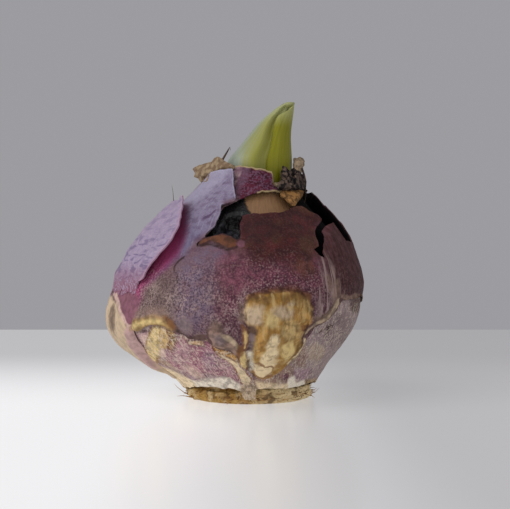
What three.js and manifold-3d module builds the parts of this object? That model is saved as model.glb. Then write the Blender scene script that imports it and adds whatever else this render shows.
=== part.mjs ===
// A sprouting hyacinth bulb at its real size, in millimetres, +Z up.
// The origin is the middle of the flat underside of the basal plate, where the bulb stands.
// -Y is the front and +X the right. Places on the bulb are given by azimuth (degrees round the
// upright axis from the front, positive to the right) and height above the table.

import * as THREE from 'three';
import Module from 'manifold-3d';
import { mergeVertices } from 'three/addons/utils/BufferGeometryUtils.js';

const wasm = await Module();
wasm.setup();

// Driving dimensions

const BULB_SPAN = 58;          // widest part of the bulb in its skins, left to right
const DEPTH_RATIO = 0.97;      // front-to-back size of the bulb as a share of its width
const SKIN = 0.7;              // thickness of each papery skin
const FIT = 0.3;               // clearance between pieces that lie against each other
const SKIN_FIT = 0.45;         // clearance between skins, which facets of different sizes share
const FLAP_CURL = 2.0;         // how far the flap's curled edge stands off the skin below it
const FLAP_WRINKLE = 0.25;     // height of the wrinkles across the flap, to either side
const SKIN_LIFT = 1.9;         // how far the right side of the outer skin stands off the bulb
const EDGE_CURL = 0.4;         // how far the outer skin's torn lower edge turns up
const LEAF = 1.0;              // thickness of an outer leaf
const SHOOT_DEPTH = 0.92;      // front-to-back size of the shoot as a share of its width
const PLATE_TOP = 3.4;         // height of the basal plate
const PLATE_FLAT = 12.4;       // radius of the flat that the bulb stands on
const PLATE_RIM = 14.6;        // radius of the plate's ragged rim
const PLATE_NECK = 12.8;       // radius of the plate where it goes up inside the skins
const PLATE_WORN = 0.7;        // how much of the rim's underside is worn away on the right
const FLESH_FOOT = 2.4;        // heights on the outline between which the flesh fills the skins
const FLESH_TOP = 47.6;
const SHOOT_SEAT = 41;         // height of the hollow's floor, where the leaves grow
const HOLLOW_RADIUS = 8.0;     // radius of the hollow in the neck
const ROOT_STUB = { count: 14, sunk: 11.9, base: 0.6, tip: 0.3, shortest: 2, longest: 3, height: 1.2 };

// Offsets of each layer from the outer face of the outer skin
const OUTER_SKIN = { face: 0, back: -SKIN };
const INNER_SKIN = { face: -SKIN - SKIN_FIT, back: -2 * SKIN - SKIN_FIT };
const FLESH_FACE = -2 * SKIN - 2 * SKIN_FIT;

// The bulb's outline from the front, at the outer face of the outer skin: height, left, right
const OUTLINE = [
  [0, -15, 15], [2.5, -16.6, 15.8], [5, -19.8, 17.2], [8, -24, 19.3], [11, -28, 21.8],
  [14, -30.6, 23.9], [17, -31.8, 25.4], [20, -31.8, 26.2], [24, -30.7, 26.2], [28, -29.2, 25.5],
  [32, -27.2, 23.6], [36, -24.6, 20.8], [40, -21, 17.5], [44, -16.4, 14.3], [47, -12.4, 12.6],
  [50, -8.9, 11.9], [53, -7, 11.8], [57, -6.6, 11.6],
];

// The shoot's outline from the front: height, middle, half width
const SHOOT = [
  [40, 2.3, 7.2], [50, 2.4, 7.1], [54, 2.6, 6.95], [56.8, 3.3, 6.1], [59.3, 4.25, 5.15],
  [61.5, 5.2, 4.3], [63.4, 6.2, 3.55], [64.8, 7.1, 2.85], [66.4, 8.2, 1.95], [67.6, 9.3, 1.0],
];

// Edges of the skins, as azimuth and height, read round the bulb
const OUTER_LOWER_EDGE = [
  [-180, 20.5], [-172, 19.5], [-160, 13], [-150, 11], [-140, 14], [-130, 19], [-118, 22],
  [-105, 21.5], [-90, 22.5], [-67, 20.4], [-53, 18.9], [-47, 17.6], [-42, 18.5], [-37, 19.3],
  [-30, 19.3], [-26, 18], [-22, 14.2], [-15, 14.8], [-9, 15.4], [-4, 13.9], [0, 13.2], [3, 8.5],
  [8, 6.5], [20, 6.2], [27, 7], [32, 9], [35, 12], [38, 16.7], [44, 21.4], [49, 23.2], [70, 23.6],
  [85, 23], [100, 21], [115, 22.5], [128, 18], [140, 12], [150, 10.5], [158, 14], [168, 20],
  [180, 20.5],
];
const OUTER_UPPER_EDGE = [
  [-180, 49], [-165, 48], [-150, 50], [-135, 49], [-120, 50], [-100, 49.4], [-80, 50.2],
  [-60, 50.6], [-40, 50.8], [-17, 47.5], [-5, 44.2], [0, 40.2], [5, 41.2], [20, 41], [32, 41.8],
  [47, 43], [53, 42.4], [56, 38.4], [61, 35.6], [75, 35.8], [90, 39.5], [105, 43], [120, 45.6],
  [135, 45], [150, 47.5], [165, 49], [180, 49],
];
const INNER_LOWER_EDGE = [
  [-180, 1.5], [-140, 1.9], [-100, 1.2], [-85, 1.9], [-60, 1.3], [-30, 1.9], [-5, 1.4], [20, 1.7],
  [45, 2.2], [65, 3.2], [90, 2.4], [120, 1.6], [150, 1.3], [180, 1.5],
];
const INNER_UPPER_EDGE = [
  [-180, 52], [-150, 52.6], [-110, 51.6], [-70, 52.4], [-40, 52], [-20, 52.1], [7, 51.6],
  [24, 51], [33, 49.4], [60, 48.8], [90, 50], [120, 51.3], [150, 52.2], [180, 52],
];
const FLAP_RIGHT_EDGE = [
  [24.5, -46.5], [28, -43], [31, -38], [34, -34], [37, -32], [39.5, -33], [41.5, -39], [43, -50],
];
const FLAP_LEFT_EDGE = [[24.5, -118], [29, -126], [34, -121], [39, -112], [43, -96]];

// Holes and tears, as outlines in azimuth and height
const BLACK_HOLE = [
  [-3, 44.6], [-10, 43.2], [-16, 43], [-13.5, 40.6], [-16, 37.2], [-20, 36.6], [-24.4, 33.2],
  [-20, 33.9], [-16, 35], [-9, 35.3], [-2, 34.6], [-1, 37], [0.5, 40.4], [5, 43],
];
const SKIN_CRACK = [
  [59, 42.5], [51, 39], [45, 37.4], [44.4, 35.8], [41.6, 33.4], [42.4, 31.4], [45, 34], [48, 36.4],
  [53, 37.6], [59, 36.6],
];
const NECK_WINDOW = [
  [-4, 45], [10, 46], [36, 47], [58, 46.6], [73, 45.4], [70, 42.6], [60, 40.2], [40, 39], [20, 38.6],
  [8, 38.8], [-2, 33.6], [-18, 32.8], [-26, 32.4], [-22, 36.6], [-18, 38], [-17, 43.4],
];
const BACK_WINDOW = [
  [166, 26], [174, 24.6], [186, 27], [197, 25.4], [203, 30], [199, 35], [190, 37.5], [178, 36],
  [170, 33.4],
];
const BACK_FLESH_WINDOW = [[172, 27.6], [185, 29], [196, 28], [198, 33], [188, 35.4], [176, 33.6]];
const BACK_TEAR = [[-146, 41], [-143, 36], [-147, 31], [-144, 26], [-141.5, 31], [-140, 37]];
const ROTTEN_POCKET = [[-2, 42.6], [-12, 42], [-14, 37.8], [-19, 35.4], [-6, 36.2], [1, 38.6]];
const POCKET_DEPTH = 2.6;

// Random numbers that come out the same on every build.
function randomSource(seed) {
  let state = seed;
  return () => {
    state = (state * 1664525 + 1013904223) % 4294967296;
    return state / 4294967296;
  };
}

// Curves and edges

const radians = THREE.MathUtils.degToRad;
const smooth = THREE.MathUtils.smoothstep;
const mix = THREE.MathUtils.lerp;

// Value in a table of rows at a key, with straight lines between the rows.
function alongEdge(rows, key) {
  const last = rows.length - 1;
  if (key <= rows[0][0]) return rows[0][1];
  if (key >= rows[last][0]) return rows[last][1];
  const i = rows.findIndex((row) => row[0] > key);
  const [low, high] = [rows[i - 1], rows[i]];
  return mix(low[1], high[1], (key - low[0]) / (high[0] - low[0]));
}

// Smooth curve through one column of a table, with its slope at each row from the rows beside it.
function smoothColumn(rows, column) {
  const last = rows.length - 1;
  const slope = rows.map((row, i) => {
    const [below, above] = [rows[Math.max(i - 1, 0)], rows[Math.min(i + 1, last)]];
    return (above[column] - below[column]) / (above[0] - below[0]);
  });
  return (key) => {
    const held = THREE.MathUtils.clamp(key, rows[0][0], rows[last][0]);
    const i = Math.min(Math.max(rows.findIndex((row) => row[0] > held) - 1, 0), last - 1);
    const from = held >= rows[last][0] ? last - 1 : i;
    const step = rows[from + 1][0] - rows[from][0];
    const t = (held - rows[from][0]) / step;
    const [t2, t3] = [t * t, t * t * t];
    return (2 * t3 - 3 * t2 + 1) * rows[from][column] + (t3 - 2 * t2 + t) * step * slope[from]
      + (3 * t2 - 2 * t3) * rows[from + 1][column] + (t3 - t2) * step * slope[from + 1];
  };
}

// The bulb's form

const outlineLeft = smoothColumn(OUTLINE, 1);
const outlineRight = smoothColumn(OUTLINE, 2);
const spanScale = BULB_SPAN / Math.max(...OUTLINE.map(([, left, right]) => right - left));
const halfWidth = (z) => (spanScale * (outlineRight(z) - outlineLeft(z))) / 2;
const middle = (z) => (outlineRight(z) + outlineLeft(z)) / 2;

// Soft lumps where the scales below press out, the same for every layer.
function lumps(azimuth, z) {
  const a = radians(azimuth);
  const fade = smooth(z, 4, 14) * (1 - smooth(z, 38, 48));
  return fade * (0.35 * Math.sin(3 * a + 0.7 + z / 16) + 0.22 * Math.sin(7 * a + 2.1 - z / 11));
}

// Point on the bulb at an azimuth and height, pushed out by an offset square to the surface.
function onBulb(azimuth, z, offset) {
  const a = radians(azimuth);
  const slope = halfWidth(z + 0.5) - halfWidth(z - 0.5);
  const length = Math.hypot(1, slope);
  const radius = halfWidth(z) + lumps(azimuth, z) + offset / length;
  return new THREE.Vector3(
    middle(z) + radius * Math.sin(a),
    -radius * DEPTH_RATIO * Math.cos(a),
    z - (offset * slope) / length,
  );
}

// How far the outer skin stands off the bulb beyond its resting place: the loose right side, and
// the torn lower edge, where rise is 0.
function skinLift(azimuth, z, rise) {
  const around = smooth(azimuth, 38, 56) * (1 - smooth(azimuth, 118, 150));
  return SKIN_LIFT * around * smooth(z, 26, 40) + EDGE_CURL * (1 - smooth(rise, 0, 0.3));
}

// Closed solids from grids of points

function indexedGeometry(points, faces) {
  const geometry = new THREE.BufferGeometry();
  geometry.setAttribute('position', new THREE.Float32BufferAttribute(points.flatMap((p) => p.toArray()), 3));
  geometry.setIndex(faces.flat());
  return facingOut(geometry);
}

// Turns every triangle over if the solid's signed volume is below zero.
function facingOut(geometry) {
  const index = geometry.index.array;
  const corner = [new THREE.Vector3(), new THREE.Vector3(), new THREE.Vector3()];
  let volume = 0;
  for (let i = 0; i < index.length; i += 3) {
    corner.forEach((p, k) => p.fromBufferAttribute(geometry.attributes.position, index[i + k]));
    volume += corner[0].dot(corner[1].clone().cross(corner[2]));
  }
  if (volume < 0) {
    for (let i = 0; i < index.length; i += 3) [index[i], index[i + 1]] = [index[i + 1], index[i]];
  }
  return geometry;
}

// A sheet with a face and a back, split into triangles alike on both. face and back take
// u across the columns and v up the rows, each from 0 to 1. A closed sheet joins up at u = 1.
function sheet({ columns, rows, closed = false, face, back }) {
  const across = closed ? columns : columns + 1;
  const points = [];
  for (const side of [face, back]) {
    for (let j = 0; j <= rows; j += 1) {
      for (let i = 0; i < across; i += 1) points.push(side(i / columns, j / rows));
    }
  }
  const at = (side, i, j) => side * across * (rows + 1) + j * across + (i % across);
  const faces = [];
  for (let j = 0; j < rows; j += 1) {
    for (let i = 0; i < columns; i += 1) {
      const [a, b, c, d] = [at(0, i, j), at(0, i + 1, j), at(0, i + 1, j + 1), at(0, i, j + 1)];
      const [e, f, g, h] = [at(1, i, j), at(1, i + 1, j), at(1, i + 1, j + 1), at(1, i, j + 1)];
      faces.push([a, b, c], [a, c, d], [e, g, f], [e, h, g]);
    }
  }
  for (let i = 0; i < columns; i += 1) {
    faces.push([at(0, i, 0), at(1, i, 0), at(1, i + 1, 0)], [at(0, i, 0), at(1, i + 1, 0), at(0, i + 1, 0)]);
    faces.push([at(0, i, rows), at(0, i + 1, rows), at(1, i + 1, rows)]);
    faces.push([at(0, i, rows), at(1, i + 1, rows), at(1, i, rows)]);
  }
  if (!closed) {
    for (let j = 0; j < rows; j += 1) {
      faces.push([at(0, 0, j), at(0, 0, j + 1), at(1, 0, j + 1)]);
      faces.push([at(0, 0, j), at(1, 0, j + 1), at(1, 0, j)]);
      faces.push([at(0, columns, j), at(1, columns, j + 1), at(0, columns, j + 1)]);
      faces.push([at(0, columns, j), at(1, columns, j), at(1, columns, j + 1)]);
    }
  }
  return indexedGeometry(points, faces);
}

// A solid closed by a point at each end, with a ring of points at each step between them.
function ringedSolid({ columns, rings, start, end }) {
  const points = [start];
  for (const ring of rings) {
    for (let i = 0; i < columns; i += 1) points.push(ring((360 * i) / columns - 180));
  }
  points.push(end);
  const at = (i, j) => 1 + j * columns + (i % columns);
  const faces = [];
  for (let i = 0; i < columns; i += 1) {
    faces.push([0, at(i + 1, 0), at(i, 0)]);
    for (let j = 0; j < rings.length - 1; j += 1) {
      faces.push([at(i, j), at(i + 1, j), at(i + 1, j + 1)], [at(i, j), at(i + 1, j + 1), at(i, j + 1)]);
    }
    faces.push([points.length - 1, at(i, rings.length - 1), at(i + 1, rings.length - 1)]);
  }
  return indexedGeometry(points, faces);
}

// Cutting and joining

function toSolid(geometry) {
  const bare = geometry.clone();
  bare.deleteAttribute('normal');
  bare.deleteAttribute('uv');
  const merged = mergeVertices(bare, 1e-4);
  const vertProperties = new Float32Array(merged.attributes.position.array);
  const triVerts = new Uint32Array(merged.index.array);
  return new wasm.Manifold(new wasm.Mesh({ numProp: 3, vertProperties, triVerts }));
}

function toGeometry(solid) {
  const mesh = solid.getMesh();
  const geometry = new THREE.BufferGeometry();
  geometry.setAttribute('position', new THREE.BufferAttribute(new Float32Array(mesh.vertProperties), 3));
  geometry.setIndex(new THREE.BufferAttribute(new Uint32Array(mesh.triVerts), 1));
  return geometry;
}

const DEGREES_PER_MM = 2.2;    // azimuth that one millimetre takes up where the bulb is widest
const TORN_STEP = 2.4;
const TORN_DEPTH = 0.5;

// Outline with each side broken into short steps that wander to and fro, as torn paper does.
function torn(outline, seed) {
  const random = randomSource(seed);
  const points = [];
  outline.forEach((from, i) => {
    const to = outline[(i + 1) % outline.length];
    const length = Math.hypot((to[0] - from[0]) / DEGREES_PER_MM, to[1] - from[1]);
    const parts = Math.max(1, Math.round(length / TORN_STEP));
    for (let k = 0; k < parts; k += 1) {
      const wander = k === 0 ? 0 : TORN_DEPTH * (random() - 0.5);
      const azimuth = mix(from[0], to[0], k / parts) + DEGREES_PER_MM * wander;
      points.push([azimuth, mix(from[1], to[1], k / parts) - wander]);
    }
  });
  return points;
}

// Plug that fills an outline in azimuth and height from one offset to another.
function plug(outline, from, to) {
  const flat = outline.map(([azimuth, z]) => new THREE.Vector2(azimuth, z));
  if (THREE.ShapeUtils.isClockWise(flat)) flat.reverse();
  const count = flat.length;
  const points = [from, to].flatMap((offset) => flat.map((p) => onBulb(p.x, p.y, offset)));
  const faces = THREE.ShapeUtils.triangulateShape(flat, [])
    .flatMap(([a, b, c]) => [[a, b, c], [a + count, c + count, b + count]]);
  for (let i = 0; i < count; i += 1) {
    const next = (i + 1) % count;
    faces.push([i, next + count, next], [i, i + count, next + count]);
  }
  return indexedGeometry(points, faces);
}

function cut(geometry, cutters) {
  return toGeometry(cutters.reduce((solid, cutter) => solid.subtract(toSolid(cutter)), toSolid(geometry)));
}

// Pieces

const FAR_IN = -5;             // plugs reach well past both sides of a skin, so that their flat
const FAR_OUT = 12;            // caps clear it
const wanderLow = randomSource(11);
const wanderHigh = randomSource(23);

// A skin that goes all round the bulb between two torn edges.
function wrappedSkin({ columns, rows, lowerEdge, upperEdge, layer, lift, roughness }) {
  const low = Array.from({ length: columns }, () => roughness * (wanderLow() - 0.5));
  const high = Array.from({ length: columns }, () => roughness * (wanderHigh() - 0.5));
  const place = (offset) => (u, v) => {
    const azimuth = 360 * u - 180;
    const column = Math.round(u * columns) % columns;
    const bottom = alongEdge(lowerEdge, azimuth) + low[column];
    const top = alongEdge(upperEdge, azimuth) + high[column];
    const z = mix(bottom, top, v);
    return onBulb(azimuth, z, offset + lift(azimuth, z, v));
  };
  return sheet({ columns, rows, closed: true, face: place(layer.face), back: place(layer.back) });
}

function outerTunic() {
  const skin = wrappedSkin({
    columns: 60, rows: 12, lowerEdge: OUTER_LOWER_EDGE, upperEdge: OUTER_UPPER_EDGE,
    layer: OUTER_SKIN, lift: skinLift, roughness: 0.9,
  });
  const tears = [BLACK_HOLE, SKIN_CRACK, BACK_WINDOW, BACK_TEAR];
  return cut(skin, tears.map((tear, i) => plug(torn(tear, 31 + i), FAR_IN, FAR_OUT)));
}

function innerTunic() {
  const skin = wrappedSkin({
    columns: 48, rows: 14, lowerEdge: INNER_LOWER_EDGE, upperEdge: INNER_UPPER_EDGE,
    layer: INNER_SKIN, lift: () => 0, roughness: 0.8,
  });
  const tears = [NECK_WINDOW, BACK_FLESH_WINDOW];
  return cut(skin, tears.map((tear, i) => plug(torn(tear, 41 + i), FAR_IN, FAR_OUT)));
}

function fleshyScales() {
  const steps = 14;
  const rings = [];
  for (let j = 0; j <= steps; j += 1) {
    const z = mix(FLESH_FOOT, FLESH_TOP, j / steps);
    rings.push((azimuth) => onBulb(azimuth, z, FLESH_FACE));
  }
  const bore = (z) => (azimuth) => {
    const a = radians(azimuth);
    return new THREE.Vector3(SHOOT[0][1] + HOLLOW_RADIUS * Math.sin(a), -HOLLOW_RADIUS * Math.cos(a), z);
  };
  rings.push(bore(FLESH_TOP), bore(SHOOT_SEAT));
  const body = ringedSolid({
    columns: 44, rings,
    start: new THREE.Vector3(0, 0, PLATE_TOP + FIT), end: new THREE.Vector3(SHOOT[0][1], 0, SHOOT_SEAT),
  });
  return cut(body, [plug(ROTTEN_POCKET, FLESH_FACE - POCKET_DEPTH, FAR_OUT)]);
}

function basalPlate() {
  const columns = 40;
  const random = randomSource(53);
  const rag = Array.from({ length: columns }, () => 1 - 0.1 * random());
  const ring = (radius, z, ragged) => (azimuth) => {
    const a = radians(azimuth);
    const column = Math.round((azimuth + 180) / (360 / columns)) % columns;
    const r = radius * (ragged ? rag[column] : 1);
    const worn = ragged ? PLATE_WORN * smooth(Math.sin(a), 0.2, 1) : 0;
    return new THREE.Vector3(r * Math.sin(a), -r * DEPTH_RATIO * Math.cos(a), z + worn);
  };
  const disc = ringedSolid({
    columns,
    rings: [
      ring(PLATE_FLAT, 0, false), ring(PLATE_RIM, 0.2 * PLATE_TOP, true),
      ring(PLATE_RIM, 0.4 * PLATE_TOP, true), ring(PLATE_NECK, 0.7 * PLATE_TOP, false),
      ring(PLATE_NECK - 0.2, PLATE_TOP, false),
    ],
    start: new THREE.Vector3(0, 0, 0), end: new THREE.Vector3(0, 0, PLATE_TOP),
  });
  return toGeometry(rootStubs(random).reduce((solid, stub) => solid.add(toSolid(stub)), toSolid(disc)));
}

// Ends of last year's roots, dried off short round the rim.
function rootStubs(random) {
  return Array.from({ length: ROOT_STUB.count }, (_, k) => {
    const length = mix(ROOT_STUB.shortest, ROOT_STUB.longest, random());
    const stub = new THREE.CylinderGeometry(ROOT_STUB.tip, ROOT_STUB.base, length, 5, 1);
    stub.translate(0, ROOT_STUB.sunk + length / 2, 0);
    stub.rotateZ((2 * Math.PI * (k + 0.6 * random())) / ROOT_STUB.count);
    stub.translate(0, 0, ROOT_STUB.height);
    return stub;
  });
}

function outerFlap() {
  const [bottom, top] = [FLAP_RIGHT_EDGE[0][0], FLAP_RIGHT_EDGE.at(-1)[0]];
  const place = (offset) => (u, v) => {
    const z = mix(bottom, top, v);
    const azimuth = mix(alongEdge(FLAP_RIGHT_EDGE, z), alongEdge(FLAP_LEFT_EDGE, z), u);
    const curl = FLAP_CURL * (1 - smooth(u, 0, 0.28)) * smooth(z, 22, 34);
    const wrinkle = FLAP_WRINKLE * (1 + Math.sin(1.1 * z + azimuth / 9)) * smooth(u, 0, 0.1);
    const frayed = 0.5 * Math.sin(azimuth / 5) * (1 - v);
    return onBulb(azimuth, z + frayed, SKIN_FIT + curl + wrinkle + offset);
  };
  return sheet({ columns: 16, rows: 12, face: place(SKIN), back: place(0) });
}

// Leaves

const shootMiddle = smoothColumn(SHOOT, 1);
const shootHalf = smoothColumn(SHOOT, 2);

// Point in the shoot at an azimuth and height, a depth in from its outer face.
function inShoot(azimuth, z, depth) {
  const a = radians(azimuth);
  const radius = Math.max(shootHalf(z) - depth, 0.12);
  return new THREE.Vector3(
    shootMiddle(z) + radius * Math.sin(a),
    -radius * SHOOT_DEPTH * Math.cos(a),
    z,
  );
}

const LEAF_FOOT = SHOOT_SEAT + FIT;
const FRONT_LEAF_TIP = 65.4;
const BACK_LEAF_TIP = 67.5;
const INNER_LEAF_TIP = 61;
const UNDERLAP = LEAF + 0.35;     // how far the back leaf sinks to pass below the front leaf
const MARGIN_THINNING = 0.3;      // what the front leaf loses from its face at the crease

// The front leaf's margins: the crease at the front and the far margin at the back.
const creaseAt = (z) => mix(15, -6, smooth(z, 57, FRONT_LEAF_TIP));
const farMarginAt = (z) => mix(146, 120, smooth(z, 57, FRONT_LEAF_TIP));

function leafFront() {
  const place = (depth, thinning) => (u, v) => {
    const z = mix(LEAF_FOOT, FRONT_LEAF_TIP, v);
    const azimuth = mix(creaseAt(z), farMarginAt(z), u);
    return inShoot(azimuth, z, depth + thinning * (1 - smooth(u, 0, 0.2)));
  };
  return sheet({ columns: 9, rows: 12, face: place(0, MARGIN_THINNING), back: place(LEAF, 0) });
}

// The back leaf goes round the shoot from its far margin to the crease, where it turns in below the
// front leaf. Above the front leaf's tip it closes into the hood.
function leafBack() {
  const farMargin = -204;
  const knee = 0.8;              // share of the leaf's width that lies outside the front leaf
  const underAt = (z) => mix(34, 150, smooth(z, 60, 65));
  const hoodAt = (z) => smooth(z, FRONT_LEAF_TIP + FIT, FRONT_LEAF_TIP + 1.4);
  const place = (depth) => (u, v) => {
    const z = mix(LEAF_FOOT, BACK_LEAF_TIP, v);
    const turn = creaseAt(z) - 4;
    const outside = mix(farMargin, turn, Math.min(u / knee, 1));
    const azimuth = mix(outside, underAt(z), Math.max(0, (u - knee) / (1 - knee)));
    const below = smooth(u, knee - 0.09, knee) * (1 - hoodAt(z));
    return inShoot(azimuth, z, depth + UNDERLAP * below);
  };
  return sheet({ columns: 20, rows: 13, face: place(0), back: place(LEAF) });
}

// The youngest leaf, rolled up in the middle of the shoot.
function leafInner() {
  const hidden = LEAF + UNDERLAP + FIT;
  const steps = 6;
  const rings = Array.from({ length: steps + 1 }, (_, j) => {
    const z = mix(LEAF_FOOT, INNER_LEAF_TIP, j / steps);
    return (azimuth) => inShoot(azimuth, z, hidden + (0.5 * j) / steps);
  });
  return ringedSolid({
    columns: 14, rings,
    start: new THREE.Vector3(SHOOT[0][1], 0, LEAF_FOOT),
    end: new THREE.Vector3(shootMiddle(INNER_LEAF_TIP + 1), 0, INNER_LEAF_TIP + 1),
  });
}

// Frayed tops of old skins round the neck: a band against the bulb that breaks into crumpled points.
function neckShreds({ from, to, foot, band, reach, points, flare, offset, seed }) {
  const random = randomSource(seed);
  const columns = 2 * points;
  const draws = Array.from({ length: columns + 1 }, () => [random(), random()]);
  const place = (depth) => (u, v) => {
    const i = Math.round(u * columns);
    const [long, bent] = draws[i];
    const swell = Math.sin(Math.PI * u) ** 0.5;
    const point = reach * (i % 2 ? mix(0.55, 1, long) : 0.18 * long) * mix(0.45, 1, swell);
    const out = flare * mix(0.5, 1, bent) * v ** 1.6 * swell;
    const crumple = 0.3 * Math.sin(9 * v + 2 * i) * v;
    return onBulb(mix(from, to, u), foot + (band + point) * v, offset + Math.max(out + crumple, 0) + depth);
  };
  return sheet({ columns, rows: 5, face: place(SKIN), back: place(0) });
}

const PAPER = { roughness: 0.6, metalness: 0 };

const finishes = {
  basal_plate: { color: 0x9a6f3c, roughness: 0.9, metalness: 0 },
  fleshy_scales: { color: 0x8a7450, roughness: 0.5, metalness: 0 },
  inner_tunic: { color: 0x7d5a76, ...PAPER },
  outer_tunic: { color: 0x5c3342, ...PAPER },
  outer_flap: { color: 0xa592b8, ...PAPER },
  leaf_back: { color: 0x727a2c, roughness: 0.45, metalness: 0 },
  leaf_front: { color: 0x7a7f32, roughness: 0.45, metalness: 0 },
  leaf_inner: { color: 0x8c9450, roughness: 0.45, metalness: 0 },
  neck_shreds_left: { color: 0xa58c69, ...PAPER },
  neck_shreds_right: { color: 0x3c2a20, ...PAPER },
};

const shapes = {
  basal_plate: basalPlate(),
  fleshy_scales: fleshyScales(),
  inner_tunic: innerTunic(),
  outer_tunic: outerTunic(),
  outer_flap: outerFlap(),
  leaf_back: leafBack(),
  leaf_front: leafFront(),
  leaf_inner: leafInner(),
  neck_shreds_left: neckShreds({
    from: -118, to: -36, foot: 47.4, band: 1.8, reach: 6.4, points: 6, flare: 3.6, offset: FIT, seed: 71,
  }),
  neck_shreds_right: neckShreds({
    from: 46, to: 132, foot: 47.6, band: 1.6, reach: 6.4, points: 7, flare: 1.3, offset: -SKIN, seed: 83,
  }),
};

const bulb = new THREE.Group();
for (const [name, geometry] of Object.entries(shapes)) {
  const mesh = new THREE.Mesh(geometry, new THREE.MeshStandardMaterial(finishes[name]));
  mesh.name = name;
  bulb.add(mesh);
}

export default bulb;
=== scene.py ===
"""Looks of a sprouting hyacinth bulb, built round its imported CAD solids.

Lengths are millimetres, and become metres where a mesh's points are set. The setting is in metres.
A place on the bulb is an azimuth, in degrees from the front and positive to the right, and a height
above the table.
"""

import logging
import math
from dataclasses import dataclass, field
from enum import Enum
from functools import partial
from random import Random
from typing import Callable, Mapping, Sequence

import bmesh
import bpy
import numpy as np
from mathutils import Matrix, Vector, noise


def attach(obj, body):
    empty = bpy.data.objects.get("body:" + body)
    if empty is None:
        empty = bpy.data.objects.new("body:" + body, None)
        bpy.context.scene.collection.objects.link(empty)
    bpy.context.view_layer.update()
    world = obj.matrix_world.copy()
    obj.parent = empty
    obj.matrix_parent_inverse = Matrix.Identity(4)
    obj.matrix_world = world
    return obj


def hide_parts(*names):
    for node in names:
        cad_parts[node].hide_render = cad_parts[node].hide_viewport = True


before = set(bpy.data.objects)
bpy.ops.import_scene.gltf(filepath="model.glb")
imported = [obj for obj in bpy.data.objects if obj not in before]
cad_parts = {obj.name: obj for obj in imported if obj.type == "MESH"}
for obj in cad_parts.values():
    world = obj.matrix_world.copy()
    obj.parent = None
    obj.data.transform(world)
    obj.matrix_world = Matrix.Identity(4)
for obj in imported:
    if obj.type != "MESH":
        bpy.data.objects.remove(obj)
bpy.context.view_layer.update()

Array = np.ndarray
Row = tuple[float, ...]
Rows = Sequence[Row]
Outline = Sequence[tuple[float, float]]
Colour = tuple[int, int, int]
Point = tuple[float, float, float]
Placing = Callable[[Array, Array], Array]

log = logging.getLogger("bulb")

METRES = 0.001         # in a millimetre
DEGREES_PER_MM = 2.2   # of azimuth on the bulb's side
FIT = 0.3              # gap between leaves
SKIN = 0.7             # thickness of a skin in the solids
SKIN_FIT = 0.45        # gap between skins
INNER_LAYER = -SKIN - SKIN_FIT
FLESH_LAYER = -2 * SKIN - 2 * SKIN_FIT
MARK_REACH = 6.0       # furthest that a point's depth in a region is told
FRAY = 5               # widens noise that stays near 0.5 to about 1 each way
WELD = 2e-6            # metres within which points become one
CRISP = 50.0           # degrees above which an edge stays sharp
BELLY = 25.0           # height at which the bulb's axis is taken

# The bulb's outline from the front, at the outer face of the outer skin: height, left, right
OUTLINE: Rows = (
    (0, -15, 15), (2.5, -16.6, 15.8), (5, -19.8, 17.2), (8, -24, 19.3), (11, -28, 21.8),
    (14, -30.6, 23.9), (17, -31.8, 25.4), (20, -31.8, 26.2), (24, -30.7, 26.2),
    (28, -29.2, 25.5), (32, -27.2, 23.6), (36, -24.6, 20.8), (40, -21, 17.5),
    (44, -16.4, 14.3), (47, -12.4, 12.6), (50, -8.9, 11.9), (53, -7, 11.8), (57, -6.6, 11.6),
)

# The shoot's outline from the front: height, middle, half width
SHOOT: Rows = (
    (40, 2.2, 7.4), (50, 2.15, 7.4), (54, 2.3, 7.35), (56.8, 3.3, 6.2), (59.3, 4.25, 5.15),
    (61.5, 5.2, 4.3), (63.4, 6.2, 3.55), (64.8, 7.1, 2.85), (66.4, 8.2, 1.95), (67.6, 9.3, 1.0),
)


def smooth(value: Array | float, low: float, high: float) -> Array:
    """Eases from 0 at low to 1 at high."""
    share = np.clip((np.asarray(value, float) - low) / (high - low), 0.0, 1.0)
    return share * share * (3.0 - 2.0 * share)


def ramp(value: Array, low: float, high: float) -> Array:
    """Runs straight from 0 at low to 1 at high."""
    return np.clip((value - low) / (high - low), 0, 1)


def along(rows: Rows, key: Array | float) -> Array:
    """Reads a table of two columns at a key, with straight lines between its rows."""
    return np.interp(key, [row[0] for row in rows], [row[1] for row in rows])


def smooth_column(rows: Rows, column: int, key: Array | float) -> Array:
    """Reads one column of a table along the smooth curve through its rows.

    Args:
        rows: Table whose first column is the key.
        column: Column to read.
        key: Keys to read it at.

    Returns:
        The curve's values, held at the table's ends.
    """
    table = np.array(rows, float)
    keys, values = table[:, 0], table[:, column]
    last = len(keys) - 1
    below = np.maximum(np.arange(last + 1) - 1, 0)
    above = np.minimum(np.arange(last + 1) + 1, last)
    slopes = (values[above] - values[below]) / (keys[above] - keys[below])
    held = np.clip(np.asarray(key, float), keys[0], keys[-1])
    i = np.clip(np.searchsorted(keys, held, "right") - 1, 0, last - 1)
    step = keys[i + 1] - keys[i]
    t = (held - keys[i]) / step
    return (
        (2 * t**3 - 3 * t**2 + 1) * values[i]
        + (t**3 - 2 * t**2 + t) * step * slopes[i]
        + (3 * t**2 - 2 * t**3) * values[i + 1]
        + (t**3 - t**2) * step * slopes[i + 1]
    )


def roughen(points: Array, size: float, seed: float = 0.0) -> Array:
    """Noise from about -1 to 1 at each point, in lumps that are size millimetres wide."""
    shifted = points / size + 31.7 * seed
    return np.array([noise.noise(Vector(point)) for point in shifted])


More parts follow.
